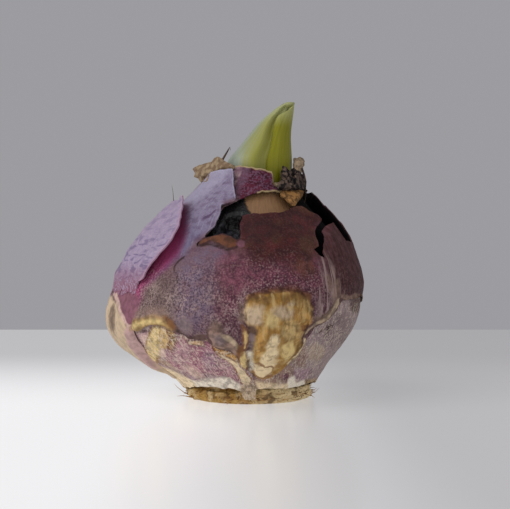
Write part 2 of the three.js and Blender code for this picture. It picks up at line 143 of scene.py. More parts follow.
def depth_in_plane(outline: Outline, x: Array, y: Array) -> Array:
    """How deep places in a plane lie inside an outline.

    Args:
        outline: Corners as x and y.
        x: First coordinates of the places.
        y: Second coordinates of the places.

    Returns:
        The distance from the outline, below zero outside it.
    """
    corners = np.array(outline, float)
    nearest = np.full(np.shape(x), np.inf)
    within = np.zeros(np.shape(x), bool)
    for (ax, ay), (bx, by) in zip(corners, np.roll(corners, -1, axis=0)):
        ex, ey = bx - ax, by - ay
        t = np.clip(((x - ax) * ex + (y - ay) * ey) / (ex * ex + ey * ey), 0, 1)
        nearest = np.minimum(nearest, np.hypot(x - ax - t * ex, y - ay - t * ey))
        if ey:
            within ^= ((ay > y) != (by > y)) & (x < ex * (y - ay) / ey + ax)
    return np.where(within, nearest, -nearest)


def depth_inside(outline: Outline, azimuth: Array, height: Array) -> Array:
    """How deep places on the bulb lie inside an outline.

    Args:
        outline: Corners as azimuth and height.
        azimuth: Azimuths of the places.
        height: Heights of the places.

    Returns:
        Millimetres from the outline, below zero outside it.
    """
    corners = np.array(outline, float)
    centre = (corners[:, 0].min() + corners[:, 0].max()) / 2
    x = (centre + (azimuth - centre + 180.0) % 360.0 - 180.0) / DEGREES_PER_MM
    return depth_in_plane(corners / (DEGREES_PER_MM, 1.0), x, np.asarray(height, float))


def region_depths(regions: Mapping[str, Outline], azimuth: Array, height: Array) -> dict[str, Array]:
    """How deep places lie inside each region, for a finish to read.

    Args:
        regions: Outlines by name.
        azimuth: Azimuths of the places.
        height: Heights of the places.

    Returns:
        Millimetres from each outline by its name, below zero outside it.
    """
    return {
        name: np.clip(depth_inside(outline, azimuth, height), -MARK_REACH, MARK_REACH)
        for name, outline in regions.items()
    }


def put(name: str, data: bpy.types.ID) -> bpy.types.Object:
    """Puts an object with this data into the scene.

    Args:
        name: The object's name.
        data: Its mesh, curve, light or camera.

    Returns:
        The object.
    """
    made = bpy.data.objects.new(name, data)
    bpy.context.scene.collection.objects.link(made)
    return made


def settled(piece: bpy.types.Object) -> bpy.types.Mesh:
    """Makes the mesh that an object shows.

    Args:
        piece: Object with live modifiers or a curve.

    Returns:
        A mesh of its own.
    """
    bpy.context.view_layer.update()
    graph = bpy.context.evaluated_depsgraph_get()
    return bpy.data.meshes.new_from_object(piece.evaluated_get(graph), depsgraph=graph)


def ring(middle: Array | float, radius: Array, azimuth: Array, height: Array,
         depth_ratio: float = 1.0) -> Array:
    """Points at a radius from an upright axis that stands middle to the right."""
    a = np.radians(azimuth)
    return np.stack([middle + radius * np.sin(a), -radius * depth_ratio * np.cos(a), height], axis=-1)


@dataclass(frozen=True)
class BulbForm:
    """The bulb's rounded form, which every skin follows."""

    outline: Rows = OUTLINE
    depth_ratio: float = 0.97

    def half_width(self, height: Array) -> Array:
        """Half of the bulb's width at a height."""
        return (smooth_column(self.outline, 2, height) - smooth_column(self.outline, 1, height)) / 2

    def middle(self, height: Array) -> Array:
        """How far right the bulb's middle is at a height."""
        return (smooth_column(self.outline, 2, height) + smooth_column(self.outline, 1, height)) / 2

    def lumps(self, azimuth: Array, height: Array) -> Array:
        """Soft lumps where the scales below press out.

        Args:
            azimuth: Azimuths of the points.
            height: Heights of the points.

        Returns:
            How far each point is pushed out.
        """
        a = np.radians(azimuth)
        fade = smooth(height, 4, 14) * (1 - smooth(height, 38, 48))
        broad = 0.35 * np.sin(3 * a + 0.7 + height / 16)
        left = smooth(-azimuth, 45, 85) * (1 - smooth(-azimuth, 125, 160))
        bulge = 0.9 * left * smooth(height, 5, 15) * (1 - smooth(height, 22, 32))
        return fade * (broad + 0.22 * np.sin(7 * a + 2.1 - height / 11)) + bulge

    def place(self, azimuth: Array, height: Array, offset: Array | float) -> Array:
        """Points on the bulb, pushed out square to its surface.

        Args:
            azimuth: Azimuths of the points.
            height: Heights of the points.
            offset: How far out from the outer skin's face.

        Returns:
            One row of x, y and z for each point.
        """
        slope = self.half_width(height + 0.5) - self.half_width(height - 0.5)
        length = np.hypot(1, slope)
        radius = self.half_width(height) + self.lumps(azimuth, height) + offset / length
        up = height - offset * slope / length
        return ring(self.middle(height), radius, azimuth, up, self.depth_ratio)


@dataclass(frozen=True)
class ShootForm:
    """The pointed shoot's form, which the leaves follow."""

    outline: Rows = SHOOT
    depth_ratio: float = 0.92
    thinnest: float = 0.08

    def place(self, azimuth: Array, height: Array, depth: Array | float) -> Array:
        """Points in the shoot.

        Args:
            azimuth: Azimuths of the points round the shoot.
            height: Heights of the points.
            depth: How far in from the shoot's outer face.

        Returns:
            One row of x, y and z for each point.
        """
        radius = np.maximum(smooth_column(self.outline, 2, height) - depth, self.thinnest)
        middle = smooth_column(self.outline, 1, height)
        return ring(middle, radius, azimuth, height, self.depth_ratio)


class Blank:
    """A grid whose points each hold two running values, to be trimmed and bent into a piece."""

    REACH = 0.7   # furthest that trimming moves a point, in cells
    NUDGE = 0.25  # step, in cells, over which the outline's slope is taken

    def __init__(self, columns: int, rows: int, across: tuple[float, float],
                 up: tuple[float, float], wrapped: bool = False) -> None:
        """Makes the grid.

        Args:
            columns: Faces across.
            rows: Faces up.
            across: Values at the left and right edges.
            up: Values at the lower and upper edges.
            wrapped: Whether the left and right edges join.
        """
        self.mesh = bmesh.new()
        bmesh.ops.create_grid(self.mesh, x_segments=columns, y_segments=rows, size=0.5)
        self.across = self.mesh.verts.layers.float.new("across")
        self.up = self.mesh.verts.layers.float.new("up")
        for vert in self.mesh.verts:
            u, v = vert.co.x + 0.5, vert.co.y + 0.5
            vert[self.across] = across[0] + u * (across[1] - across[0])
            vert[self.up] = up[0] + v * (up[1] - up[0])
            if wrapped:
                turn = 2 * math.pi * u
                vert.co = (math.cos(turn), math.sin(turn), v)
        if wrapped:
            bmesh.ops.remove_doubles(self.mesh, verts=self.mesh.verts, dist=1e-5)
        self.cell = (abs(across[1] - across[0]) / columns, abs(up[1] - up[0]) / rows)

    def values(self) -> tuple[Array, Array]:
        """Both running values of every point, in order."""
        both = np.array([(vert[self.across], vert[self.up]) for vert in self.mesh.verts])
        return both[:, 0], both[:, 1]

    def trim(self, inside: Placing) -> None:
        """Cuts the grid to an outline and draws its cut edge onto it.

        Args:
            inside: Gives how far values lie inside the outline, below zero outside it.
        """
        depth = inside(*self.values())
        self.mesh.verts.index_update()
        gone = [
            face for face in self.mesh.faces
            if sum(depth[vert.index] for vert in face.verts) < 0
        ]
        bmesh.ops.delete(self.mesh, geom=gone, context="FACES")
        self._keep_largest()
        edge = [vert for vert in self.mesh.verts if vert.is_boundary]
        u = np.array([vert[self.across] for vert in edge])
        v = np.array([vert[self.up] for vert in edge])
        step_u, step_v = self.NUDGE * self.cell[0], self.NUDGE * self.cell[1]
        for _ in range(2):
            here = inside(u, v)
            du = (inside(u + step_u, v) - here) / self.NUDGE
            dv = (inside(u, v + step_v) - here) / self.NUDGE
            pull = here / np.maximum(du * du + dv * dv, 1e-9)
            u = u - np.clip(pull * du, -self.REACH, self.REACH) * self.cell[0]
            v = v - np.clip(pull * dv, -self.REACH, self.REACH) * self.cell[1]
        for vert, across, up in zip(edge, u, v):
            vert[self.across], vert[self.up] = across, up

    def _keep_largest(self) -> None:
        """Drops every loose island but the largest."""
        seen: set[bmesh.types.BMVert] = set()
        islands = []
        for start in self.mesh.verts:
            if start in seen:
                continue
            seen.add(start)
            island, queue = [], [start]
            while queue:
                vert = queue.pop()
                island.append(vert)
                for edge in vert.link_edges:
                    other = edge.other_vert(vert)
                    if other not in seen:
                        seen.add(other)
                        queue.append(other)
            islands.append(island)
        islands.sort(key=len)
        for island in islands[:-1]:
            bmesh.ops.delete(self.mesh, geom=island, context="VERTS")

    def bend(self, place: Placing) -> Array:
        """Puts every point where its values say.

        Args:
            place: Gives a row of x, y and z in millimetres for each pair of values.

        Returns:
            The points in millimetres.
        """
        points = place(*self.values())
        for vert, point in zip(self.mesh.verts, points * METRES):
            vert.co = point
        return points

    def face_outwards(self, axis: tuple[float, float]) -> None:
        """Turns the faces away from an upright axis.

        Args:
            axis: Its x and y in millimetres.
        """
        bmesh.ops.recalc_face_normals(self.mesh, faces=self.mesh.faces)
        x, y = axis[0] * METRES, axis[1] * METRES
        outward = 0.0
        for face in self.mesh.faces:
            middle = face.calc_center_median()
            facing = (middle.x - x) * face.normal.x + (middle.y - y) * face.normal.y
            outward += facing * face.calc_area()
        if outward < 0:
            bmesh.ops.reverse_faces(self.mesh, faces=self.mesh.faces)


@dataclass
class Piece:
    """What every piece of the bulb says to the frame."""

    name: str
    slot: str
    nodes: tuple[str, ...]

    def add(self, mesh: bmesh.types.BMesh, materials: Sequence[bpy.types.Material],
            marks: Mapping[str, Array] | None = None,
            thickness: float = 0.0) -> bpy.types.Object:
        """Turns a mesh into a finished piece that rides on the bulb.

        Args:
            mesh: The piece's mesh in metres, which is used up.
            materials: Finish of the face, then of the back.
            marks: Values at each point for the finish to read, by name.
            thickness: Wall that is grown inwards, in millimetres.

        Returns:
            The piece's object.
        """
        data = bpy.data.meshes.new(self.name)
        mesh.to_mesh(data)
        mesh.free()
        for label, values in (marks or {}).items():
            kind, key = ("FLOAT_VECTOR", "vector") if values.ndim == 2 else ("FLOAT", "value")
            mark = data.attributes.new(label, kind, "POINT")
            mark.data.foreach_set(key, values.astype(np.float32).ravel())
        for material in materials:
            data.materials.append(material)
        piece = put(self.name, data)
        if thickness:
            wall = piece.modifiers.new("wall", "SOLIDIFY")
            wall.thickness = thickness * METRES
            wall.offset = -1.0
            wall.use_even_offset = False
            wall.material_offset = len(materials) - 1
            wall.material_offset_rim = 0
            piece.data = settled(piece)
            piece.data.name = piece.name
            piece.modifiers.clear()
        piece.data.polygons.foreach_set("use_smooth", [True] * len(piece.data.polygons))
        piece.data.set_sharp_from_angle(angle=math.radians(CRISP))
        return self.declare(piece)

    def declare(self, piece: bpy.types.Object) -> bpy.types.Object:
        """Puts the piece on the root body, hides the solids that it stands for and logs it.

        Args:
            piece: The piece's object.

        Returns:
            The same object.
        """
        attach(piece, "root")
        if self.nodes:
            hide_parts(*self.nodes)
        log.info("%s: %d faces, for %s", self.name, len(piece.data.polygons), self.nodes or "no solid")
        return piece


# Shaders


class Wire:
    """A value in a shader, which Python's operators work on."""

    def __init__(self, board: "Board", socket: bpy.types.NodeSocket) -> None:
        """Holds the socket that the value comes out of."""
        self.board = board
        self.socket = socket

    def _math(self, operation: str, first: "Wire | float", second: "Wire | float") -> "Wire":
        """Adds one Math node."""
        return self.board.wire("ShaderNodeMath", {"operation": operation}, {0: first, 1: second})

    def __add__(self, other: "Wire | float") -> "Wire":
        """Sum."""
        return self._math("ADD", self, other)

    __radd__ = __add__

    def __sub__(self, other: "Wire | float") -> "Wire":
        """Difference."""
        return self._math("SUBTRACT", self, other)

    def __rsub__(self, other: float) -> "Wire":
        """Difference from a number."""
        return self._math("SUBTRACT", other, self)

    def __mul__(self, other: "Wire | float") -> "Wire":
        """Product."""
        return self._math("MULTIPLY", self, other)

    __rmul__ = __mul__

    def __or__(self, other: "Wire | float") -> "Wire":
        """The larger of both."""
        return self._math("MAXIMUM", self, other)

    __ror__ = __or__

    def rise(self, low: float, high: float) -> "Wire":
        """Eases from 0 at low to 1 at high."""
        sockets = {"Value": self, "From Min": low, "From Max": high}
        return self.board.wire("ShaderNodeMapRange", {"interpolation_type": "SMOOTHSTEP"}, sockets)

    def fall(self, low: float, high: float) -> "Wire":
        """Eases from 1 at low to 0 at high."""
        return 1 - self.rise(low, high)


def tint(colour: Colour) -> tuple[float, float, float, float]:
    """Turns a colour into the shader's linear one.

    Args:
        colour: Red, green and blue from 0 to 255.

    Returns:
        The same in linear light from 0 to 1, with a solid alpha.
    """
    channels = (c / 255 for c in colour)
    linear = (c / 12.92 if c <= 0.04045 else ((c + 0.055) / 1.055) ** 2.4 for c in channels)
    return (*linear, 1.0)


class Board:
    """The nodes of one material."""

    def __init__(self, name: str) -> None:
        """Starts a material with no nodes.

        Args:
            name: The material's name.
        """
        self.material = bpy.data.materials.new(name)
        self.material.use_nodes = True
        self.tree = self.material.node_tree
        self.tree.nodes.clear()
        self._where: Wire | None = None

    def node(self, kind: str, settings: Mapping[str, object] | None = None,
             sockets: Mapping[str | int, object] | None = None) -> bpy.types.Node:
        """Adds a node.

        Args:
            kind: The node's type.
            settings: Its properties, which are set first.
            sockets: A wire or a value for each input.

        Returns:
            The node.
        """
        made = self.tree.nodes.new(kind)
        for key, value in (settings or {}).items():
            setattr(made, key, value)
        for key, value in (sockets or {}).items():
            if isinstance(value, Wire):
                self.tree.links.new(value.socket, made.inputs[key])
            else:
                made.inputs[key].default_value = value
        return made

    def wire(self, kind: str, settings: Mapping[str, object] | None = None,
             sockets: Mapping[str | int, object] | None = None, output: str | int = 0) -> Wire:
        """Adds a node and gives one of its outputs."""
        return Wire(self, self.node(kind, settings, sockets).outputs[output])

    def where(self) -> Wire:
        """The place on the object.

        Returns:
            Its x, y and z in millimetres.
        """
        if self._where is None:
            place = self.wire("ShaderNodeTexCoord", output="Object")
            self._where = self.stretch(place, (1 / METRES,) * 3)
        return self._where

    def stretch(self, vector: Wire, factors: Point) -> Wire:
        """Multiplies a vector by a number on each axis."""
        return self.wire("ShaderNodeVectorMath", {"operation": "MULTIPLY"}, {0: vector, 1: factors})

    def axis(self, letter: str) -> Wire:
        """The X, Y or Z of the place on the object in millimetres."""
        return self.wire("ShaderNodeSeparateXYZ", sockets={0: self.where()}, output=letter)

    def height(self) -> Wire:
        """The height on the object in millimetres."""
        return self.axis("Z")

    def mark(self, label: str) -> Wire:
        """A number that the mesh holds at each point."""
        return self.wire("ShaderNodeAttribute", {"attribute_name": label}, output="Fac")

    def flow(self, label: str, squeeze: float) -> Wire:
        """A place that the mesh holds at each point, squeezed along the grain."""
        held = self.wire("ShaderNodeAttribute", {"attribute_name": label}, output="Vector")
        return self.stretch(held, (1, 1, squeeze))

    def grain(self, size: float, detail: float = 2.0, vector: Wire | None = None,
              distortion: float = 0.0) -> Wire:
        """Noise of about 0 to 1 round 0.5.

        Args:
            size: Width of its lumps in millimetres.
            detail: How many finer octaves it has.
            vector: Place to read it at, or else the place on the object.
            distortion: How far it is stirred.

        Returns:
            The noise.
        """
        return self.wire("ShaderNodeTexNoise", sockets={
            "Vector": vector or self.where(), "Scale": 1 / size, "Detail": detail,
            "Distortion": distortion,
        }, output="Fac")

    def hairs(self, size: float, width: float, vector: Wire | None = None) -> Wire:
        """Mask that is 1 on thin wandering lines, whose loops are size millimetres wide."""
        away = self.grain(size, 2.0, vector, 1.2) - 0.5
        return (away * away).fall(0.0, width * width)

    def frayed(self, stir: Wire, label: str, ragged: float) -> Wire:
        """The depth in a region, with noise that moves its edge by ragged millimetres."""
        return self.mark(label) + (stir - 0.5) * (FRAY * ragged)

    def region(self, stir: Wire, label: str, soft: float, ragged: float, shift: float = 0.0) -> Wire:
        """Mask of a region, whose edge fades over soft millimetres and is moved outwards by shift."""
        return self.frayed(stir, label, ragged).rise(-soft / 2 - shift, soft / 2 - shift)

    def mix(self, factor: Wire | float, low: Wire | Colour, high: Wire | Colour) -> Wire:
        """Blends two colours.

        Args:
            factor: 0 for the first, 1 for the second.
            low: First colour.
            high: Second colour.

        Returns:
            The blend.
        """
        ends = [end if isinstance(end, Wire) else tint(end) for end in (low, high)]
        sockets = {0: factor, 6: ends[0], 7: ends[1]}
        return self.wire("ShaderNodeMix", {"data_type": "RGBA"}, sockets, output=2)

    def finish(self, colour: Wire | Colour, roughness: Wire | float, relief: Wire | None = None,
               depth: float = 0.1, **sockets: object) -> bpy.types.Material:
        """Closes the material.

        Args:
            colour: Base colour.
            roughness: Roughness.
            relief: Heights for the bump, from 0 to 1.
            depth: What a height of 1 stands for in millimetres.
            **sockets: Other inputs of the shader, with _ for a space.

        Returns:
            The material.
        """
        inputs = {"Base Color": colour if isinstance(colour, Wire) else tint(colour), "Roughness": roughness}
        if relief is not None:
            inputs["Normal"] = self.wire("ShaderNodeBump", sockets={
                "Height": relief, "Distance": depth * METRES, "Strength": 1.0,
            })
        inputs.update({key.replace("_", " "): value for key, value in sockets.items()})
        shader = self.wire("ShaderNodeBsdfPrincipled", sockets=inputs)
        self.node("ShaderNodeOutputMaterial", sockets={"Surface": shader})
        return self.material


# Finishes


class Shade(Enum):
    """Colours that the marks on the skins share."""

    CHALK = (255, 245, 225)
    CREAM = (255, 230, 185)
    BLUSH = (230, 195, 180)
    STRAW = (215, 180, 120)
    SAND = (205, 180, 150)
    ROSE = (190, 150, 155)
    OCHRE = (205, 155, 85)
    LILAC = (170, 135, 150)
    TAN = (180, 145, 90)
    FAWN = (160, 130, 115)
    DOVE = (145, 125, 125)
    TAUPE = (130, 105, 90)
    UMBER = (140, 105, 55)
    MAUVE = (140, 90, 105)
    SLATE = (100, 75, 70)
    RUST = (130, 85, 50)
    BROWN = (110, 65, 40)
    SHADOW = (85, 60, 60)
    WINE = (55, 30, 30)
    MUSTARD = (235, 205, 140)


@dataclass(frozen=True)
class Patch:
    """A patch of colour on a skin, mottled with a darker shade of its own."""

    name: str
    soft: float
    ragged: float
    share: float
    dim: float
    shade: Shade
    outline: Outline
    ring: Shade | None = None

    def lay(self, board: Board, base: Wire, stir: Wire, mottle: Wire) -> Wire:
        """Lays the patch over a colour.

        Args:
            board: The material's nodes.
            base: The colour below.
            stir: Noise that frays the patch's edge.
            mottle: Noise that mottles it.

        Returns:
            The colour with the patch on it.
        """
        darker = tuple(round(channel * self.dim) for channel in self.shade.value)
        shade = board.mix(mottle.rise(0.38, 0.64), self.shade.value, darker)
        mask = board.region(stir, self.name, self.soft, self.ragged)
        base = board.mix(mask * self.share, base, shade)
        if self.ring is None:
            return base
        away = board.frayed(stir, self.name, self.ragged) + 0.1
        ring = (away * away).fall(0.01, 0.1) * mottle.fall(0.5, 0.66)
        return board.mix(ring * 0.8, base, self.ring.value)


@dataclass(frozen=True)
class OuterSkinFinish:
    """Purple-brown outer skin, with bloom, scars, flecks and a scabbed tongue."""

    patches: tuple[Patch, ...]
    mauve: Colour = (112, 80, 88)
    plum: Colour = (84, 46, 58)
    dark: Colour = (48, 24, 33)
    fleck: Colour = (172, 148, 142)
    bloom: Colour = (139, 128, 152)
    bloom_low: Colour = (108, 100, 130)
    bloom_dark: Colour = (92, 72, 102)
    frost: Colour = (170, 165, 186)
    blue_bloom: Colour = (116, 98, 118)
    crimson: Colour = (138, 60, 100)
    crimson_painted_light: Colour = (182, 70, 120)
    wine: Colour = (74, 30, 29)
    wine_dark: Colour = (56, 21, 21)
    wine_red: Colour = (90, 32, 34)
    maroon: Colour = (126, 69, 86)
    olive: Colour = (112, 95, 88)
    tan: Colour = (178, 142, 86)
    ochre: Colour = (166, 122, 54)
    pale: Colour = (230, 204, 146)
    brown: Colour = (98, 66, 42)
    worn: Colour = (146, 124, 96)
    side: Colour = (86, 50, 50)
    side_dark: Colour = (60, 30, 30)

    def build(self) -> bpy.types.Material:
        """Makes the material.

        Returns:
            The material.
        """
        b = Board("outer_skin")
        stir, broad = b.grain(2.6, 5), b.grain(7.0, 3)
        mottle, fine = b.grain(1.4, 4), b.grain(0.38, 2)
        vein = b.grain(0.5, 3, b.flow("grain", 0.14))
        line = b.grain(0.8, 3, b.flow("grain", 0.07))
        lower = (b.height() + broad * 16 - 8).fall(24, 34)
        region = partial(b.region, stir)
        on_side, on_wine, tongue = region("side", 2, 0.4), region("wine", 4, 0.8), region("tongue", 0.9, 0.3)
        base = b.mix(mottle.rise(0.35, 0.65), self.mauve, self.plum)
        base = b.mix(broad.rise(0.5, 0.68) * 0.35, base, self.olive)
        maroon = b.mix(mottle.rise(0.3, 0.7), self.maroon, self.plum)
        base = b.mix(region("maroon", 5, 0.8), base, maroon)
        base = b.mix(region("blue_bloom", 4, 0.8) * mottle.rise(0.2, 0.6) * 0.8, base, self.blue_bloom)
        base = b.mix(region("olive", 4, 0.7) * 0.7, base, self.olive)
        side = b.mix(vein.rise(0.35, 0.65), self.side, self.side_dark)
        base = b.mix(on_side, base, b.mix(mottle.rise(0.4, 0.7) * 0.35, side, self.mauve))
        wine = b.mix(mottle.rise(0.3, 0.7), self.wine, self.wine_dark)
        wine = b.mix(broad.rise(0.48, 0.62) * 0.4, wine, self.brown)
        wine = b.mix(b.grain(4.0, 3).rise(0.52, 0.64) * 0.7, wine, self.wine_red)
        base = b.mix(on_wine, base, wine)
        bloom = b.mix(b.height().rise(30, 44), self.bloom_low, self.bloom)
        bloom = b.mix(mottle.rise(0.42, 0.66) * 0.6, bloom, self.bloom_dark)
        bloom = b.mix(vein.rise(0.55, 0.7) * 0.35, bloom, self.frost)
        base = b.mix(region("bloom", 2.4, 0.4), base, bloom)
        base = b.mix(region("frost", 5, 0.8) * 0.6, base, self.frost)
        # Painted light: the crimson turns brighter towards the flap's curled edge, to offset the shadow that
        # the flap casts there.
        crimson = b.mix(b.mark("crimson").rise(1.0, 4.0), self.crimson, self.crimson_painted_light)
        base = b.mix(region("crimson", 2.6, 0.3, -0.7), base, crimson)
        base = b.mix(region("slash", 0.3, 0.05, 0.22), base, self.bloom_dark)
        calm = 1 - on_side * 0.7
        pale = b.grain(3.6, 3).rise(0.35, 0.6)
        base = b.mix(fine.rise(0.5, 0.64) * (lower * (pale * 0.4 + 0.12) + 0.06) * calm, base, self.fleck)
        base = b.mix(fine.fall(0.38, 0.5) * (lower * 0.44 + 0.13), base, self.dark)
        web = b.hairs(1.1, 0.04, b.flow("grain", 0.5)) * region("web", 4, 0.8) * pale
        base = b.mix(web * 0.55, base, self.fleck)
        base = b.mix(region("streaks", 3, 0.6) * line.rise(0.47, 0.58) * 0.75, base, self.fleck)
        base = self._worn(b, base, region("bloom", 2, 0.2), mottle, broad)
        scab = b.mix(mottle.rise(0.35, 0.65), self.tan, self.ochre)
        base = b.mix(tongue, base, scab)
        for patch in self.patches:
            base = patch.lay(b, base, stir, mottle)
        streak = b.grain(1.1, 5, b.stretch(b.where(), (1, 1, 0.35)), 0.5)
        base = b.mix(tongue * streak.rise(0.52, 0.64) * 0.36, base, self.brown)
        base = b.mix(tongue * streak.fall(0.36, 0.48) * 0.3, base, self.pale)
        # Dark wine line round the tongue: its dark rim, and painted shadow where its raised edge stands over
        # the skin below.
        outline = b.frayed(stir, "tongue", 0.3)
        base = b.mix((outline * outline).fall(0.02, 0.3) * mottle.rise(0.4, 0.6) * 0.6, base, self.wine_dark)
        rough = 0.62 - on_wine * 0.12 + fine * 0.12
        relief = vein * 0.35 + fine * 0.35 + mottle * 0.5 + streak * tongue * 1.5
        return b.finish(base, rough, relief, 0.14, Specular_IOR_Level=0.22)

    def _worn(self, b: Board, base: Wire, bloom: Wire, mottle: Wire, broad: Wire) -> Wire:
        """Colours of the worn margin along the skin's torn edges.

        Args:
            b: The material's nodes.
            base: The colour below.
            bloom: Mask of the bloom, whose margin is pale.
            mottle: Noise that frays the margin.
            broad: Noise that changes its colour.

        Returns:
            The colour with the margin on it.
        """
        margin = (b.mark("edge") + mottle * 1.2 - 0.6).fall(0.1, 0.6) * b.grain(3.2, 2).rise(0.38, 0.56)
        worn = b.mix(broad.rise(0.42, 0.6), self.worn, self.brown)
        base = b.mix(margin * bloom.fall(0, 1) * b.height().fall(25, 30), base, worn)
        pale = b.mark("edge").fall(0.1, 0.5) * bloom
        return b.mix(pale * 0.5, base, self.frost)


@dataclass(frozen=True)
class SkinBackFinish:
    """Dull inner face of a dry skin."""

    name: str
    pale: Colour
    dark: Colour

    def build(self) -> bpy.types.Material:
        """Makes the material.

        Returns:
            The material.
        """
        b = Board(self.name)
        vein = b.grain(0.6, 3, b.flow("grain", 0.12))
        base = b.mix(vein.rise(0.3, 0.7), self.pale, self.dark)
        return b.finish(base, 0.75, vein, 0.08)


@dataclass(frozen=True)
class InnerSkinFinish:
    """Inner skin: wine at the neck, pink-purple below, cream at the foot; painted shade in the gap."""

    patches: tuple[Patch, ...]
    mauve: Colour = (166, 139, 144)
    plum: Colour = (114, 82, 94)
    pink: Colour = (176, 122, 134)
    rose: Colour = (142, 84, 104)
    cream: Colour = (222, 198, 160)
    white: Colour = (236, 218, 198)
    tan: Colour = (180, 148, 104)
    wine: Colour = (92, 37, 54)
    wine_dark: Colour = (62, 25, 36)
    wine_pale: Colour = (114, 86, 106)
    rim: Colour = (170, 150, 112)
    grey: Colour = (156, 142, 138)
    black: Colour = (7, 4, 5)
    shade: Colour = (66, 42, 44)

    def build(self) -> bpy.types.Material:
        """Makes the material.

        Returns:
            The material.
        """
        b = Board("inner_skin")
        stir, broad = b.grain(2.6, 5), b.grain(6.0, 3)
        mottle, fine = b.grain(1.3, 4), b.grain(0.38, 2)
        vein = b.grain(0.5, 3, b.flow("grain", 0.14))
        region = partial(b.region, stir)
        gap = region("gap", 1.4, 0.2)
        base = b.mix(mottle.rise(0.35, 0.65), self.mauve, self.plum)
        base = b.mix(broad.rise(0.5, 0.65) * 0.5, base, self.tan)
        side = b.mix(vein.rise(0.35, 0.65), self.grey, self.mauve)
        base = b.mix(region("plum_side", 3, 0.8), base, side)
        pink = b.mix(mottle.rise(0.35, 0.6), self.pink, self.rose)
        base = b.mix(region("pink_foot", 2, 0.6), base, b.mix(vein.rise(0.5, 0.7) * 0.3, pink, self.grey))
        margin = b.mix(vein.rise(0.3, 0.7), self.cream, self.tan)
        base = b.mix(region("left_margin", 3, 0.6) * 0.85, base, margin)
        foot = (b.height() + broad * 5 + stir * 3).fall(7.6, 9.0)
        base = b.mix(foot * 0.85, base, b.mix(mottle.rise(0.35, 0.65), self.cream, self.tan))
        for patch in self.patches:
            base = patch.lay(b, base, stir, mottle)
        flecks = b.height().fall(22, 28) * b.grain(3.6, 3).rise(0.35, 0.6)
        base = b.mix(fine.rise(0.5, 0.66) * flecks * 0.3, base, self.white)
        base = b.mix(fine.fall(0.36, 0.5) * 0.25, base, self.plum)
        scratch = b.hairs(1.4, 0.04, b.flow("grain", 0.5)) * b.height().fall(20, 24)
        base = b.mix(scratch * 0.5, base, self.white)
        collar = b.mix(mottle.rise(0.4, 0.66), self.wine, self.wine_dark)
        collar = b.mix(b.grain(0.45, 3).rise(0.46, 0.62) * 0.65, collar, self.wine_pale)
        base = b.mix(region("collar", 1.5, 0.3), base, collar)
        base = b.mix(region("collar_haze", 3, 0.5) * 0.5, base, self.wine_pale)
        # Painted shade: the gap behind the loose outer skin is near black at the front, turning to dark
        # brown skin further back.
        shade = b.mix(b.axis("Y").rise(-3, 2) * vein.rise(0.3, 0.6), self.black, self.shade)
        base = b.mix(gap, base, shade)
        top = (b.mark("edge") + mottle * 0.5 - 0.25).fall(0.1, 0.42)
        top = top * (b.height().rise(47.6, 48.2) | region("seam", 0.5, 0.1))
        base = b.mix(top * (1 - gap), base, self.rim)
        relief = vein * 0.4 + fine * 0.3 + mottle * 0.5
        return b.finish(base, (0.6 + fine * 0.1) | gap, relief, 0.14, Specular_IOR_Level=0.1)


@dataclass(frozen=True)
class FlapFinish:
    """Lilac flap with fine bluish creases, which is pinker where it joins the skin."""

    lilac: Colour = (156, 138, 165)
    pale: Colour = (170, 152, 174)
    pink: Colour = (136, 88, 108)
    crease: Colour = (108, 95, 130)
    rim: Colour = (180, 142, 163)

    def build(self) -> bpy.types.Material:
        """Makes the material.

        Returns:
            The material.
        """
        b = Board("flap_skin")
        crease = b.grain(1.6, 3, b.stretch(b.where(), (0.35, 0.5, 1.6)), 0.6)
        mottle, fine = b.grain(1.2, 4), b.grain(0.38, 2)
        base = b.mix(mottle.rise(0.35, 0.65), self.lilac, self.pale)
        middle = b.height().rise(24, 27) * b.height().fall(33, 38) * 0.4 + 0.4
        # The creases are painted darker as well as bumped: painted shade in them.
        base = b.mix(crease.rise(0.5, 0.62) * middle, base, self.crease)
        base = b.mix(fine.fall(0.36, 0.5) * 0.25, base, self.crease)
        base = b.mix((b.height() + mottle * 3 - 1.5).fall(24.5, 31.5), base, self.pink)
        scribble = b.hairs(1.5, 0.05) * b.height().fall(26, 28.5)
        base = b.mix(scribble * 0.75, base, self.pale)
        base = b.mix(b.mark("edge").fall(0.1, 0.8) * 0.7, base, self.rim)
        return b.finish(base, 0.55, crease * 1.3 + fine * 0.25, 0.2, Specular_IOR_Level=0.25)


@dataclass(frozen=True)
class FleshFinish:
    """Fleshy scales: dry tan at the neck, cream below, in the hole near black for rot and painted shade."""

    cream: Colour = (206, 190, 150)
    tan: Colour = (142, 106, 71)
    brown: Colour = (113, 80, 51)
    rot_and_shade: Colour = (16, 12, 15)
    painted_sheen: Colour = (62, 59, 70)

    def build(self) -> bpy.types.Material:
        """Makes the material.

        Returns:
            The material.
        """
        b = Board("flesh")
        vein = b.grain(0.7, 3, b.flow("grain", 0.3))
        stir = b.grain(1.0, 3)
        base = b.mix(b.height().rise(34, 40), self.cream, self.tan)
        base = b.mix(vein.rise(0.4, 0.7) * 0.35, base, self.brown)
        # The hole is painted near black, partly for rotted flesh and partly as painted shade, with a bluish
        # painted sheen on it.
        rot_and_shade = b.region(stir, "rot_and_shade", 0.6, 0.12)
        dark = b.mix(b.region(stir, "painted_sheen", 1.4, 0.3) * stir.rise(0.4, 0.6), self.rot_and_shade, self.painted_sheen)
        base = b.mix(rot_and_shade, base, dark)
        return b.finish(base, 0.6 - rot_and_shade * 0.15, vein * 0.3 + stir * (rot_and_shade * 1.5 + 0.2), 0.3)


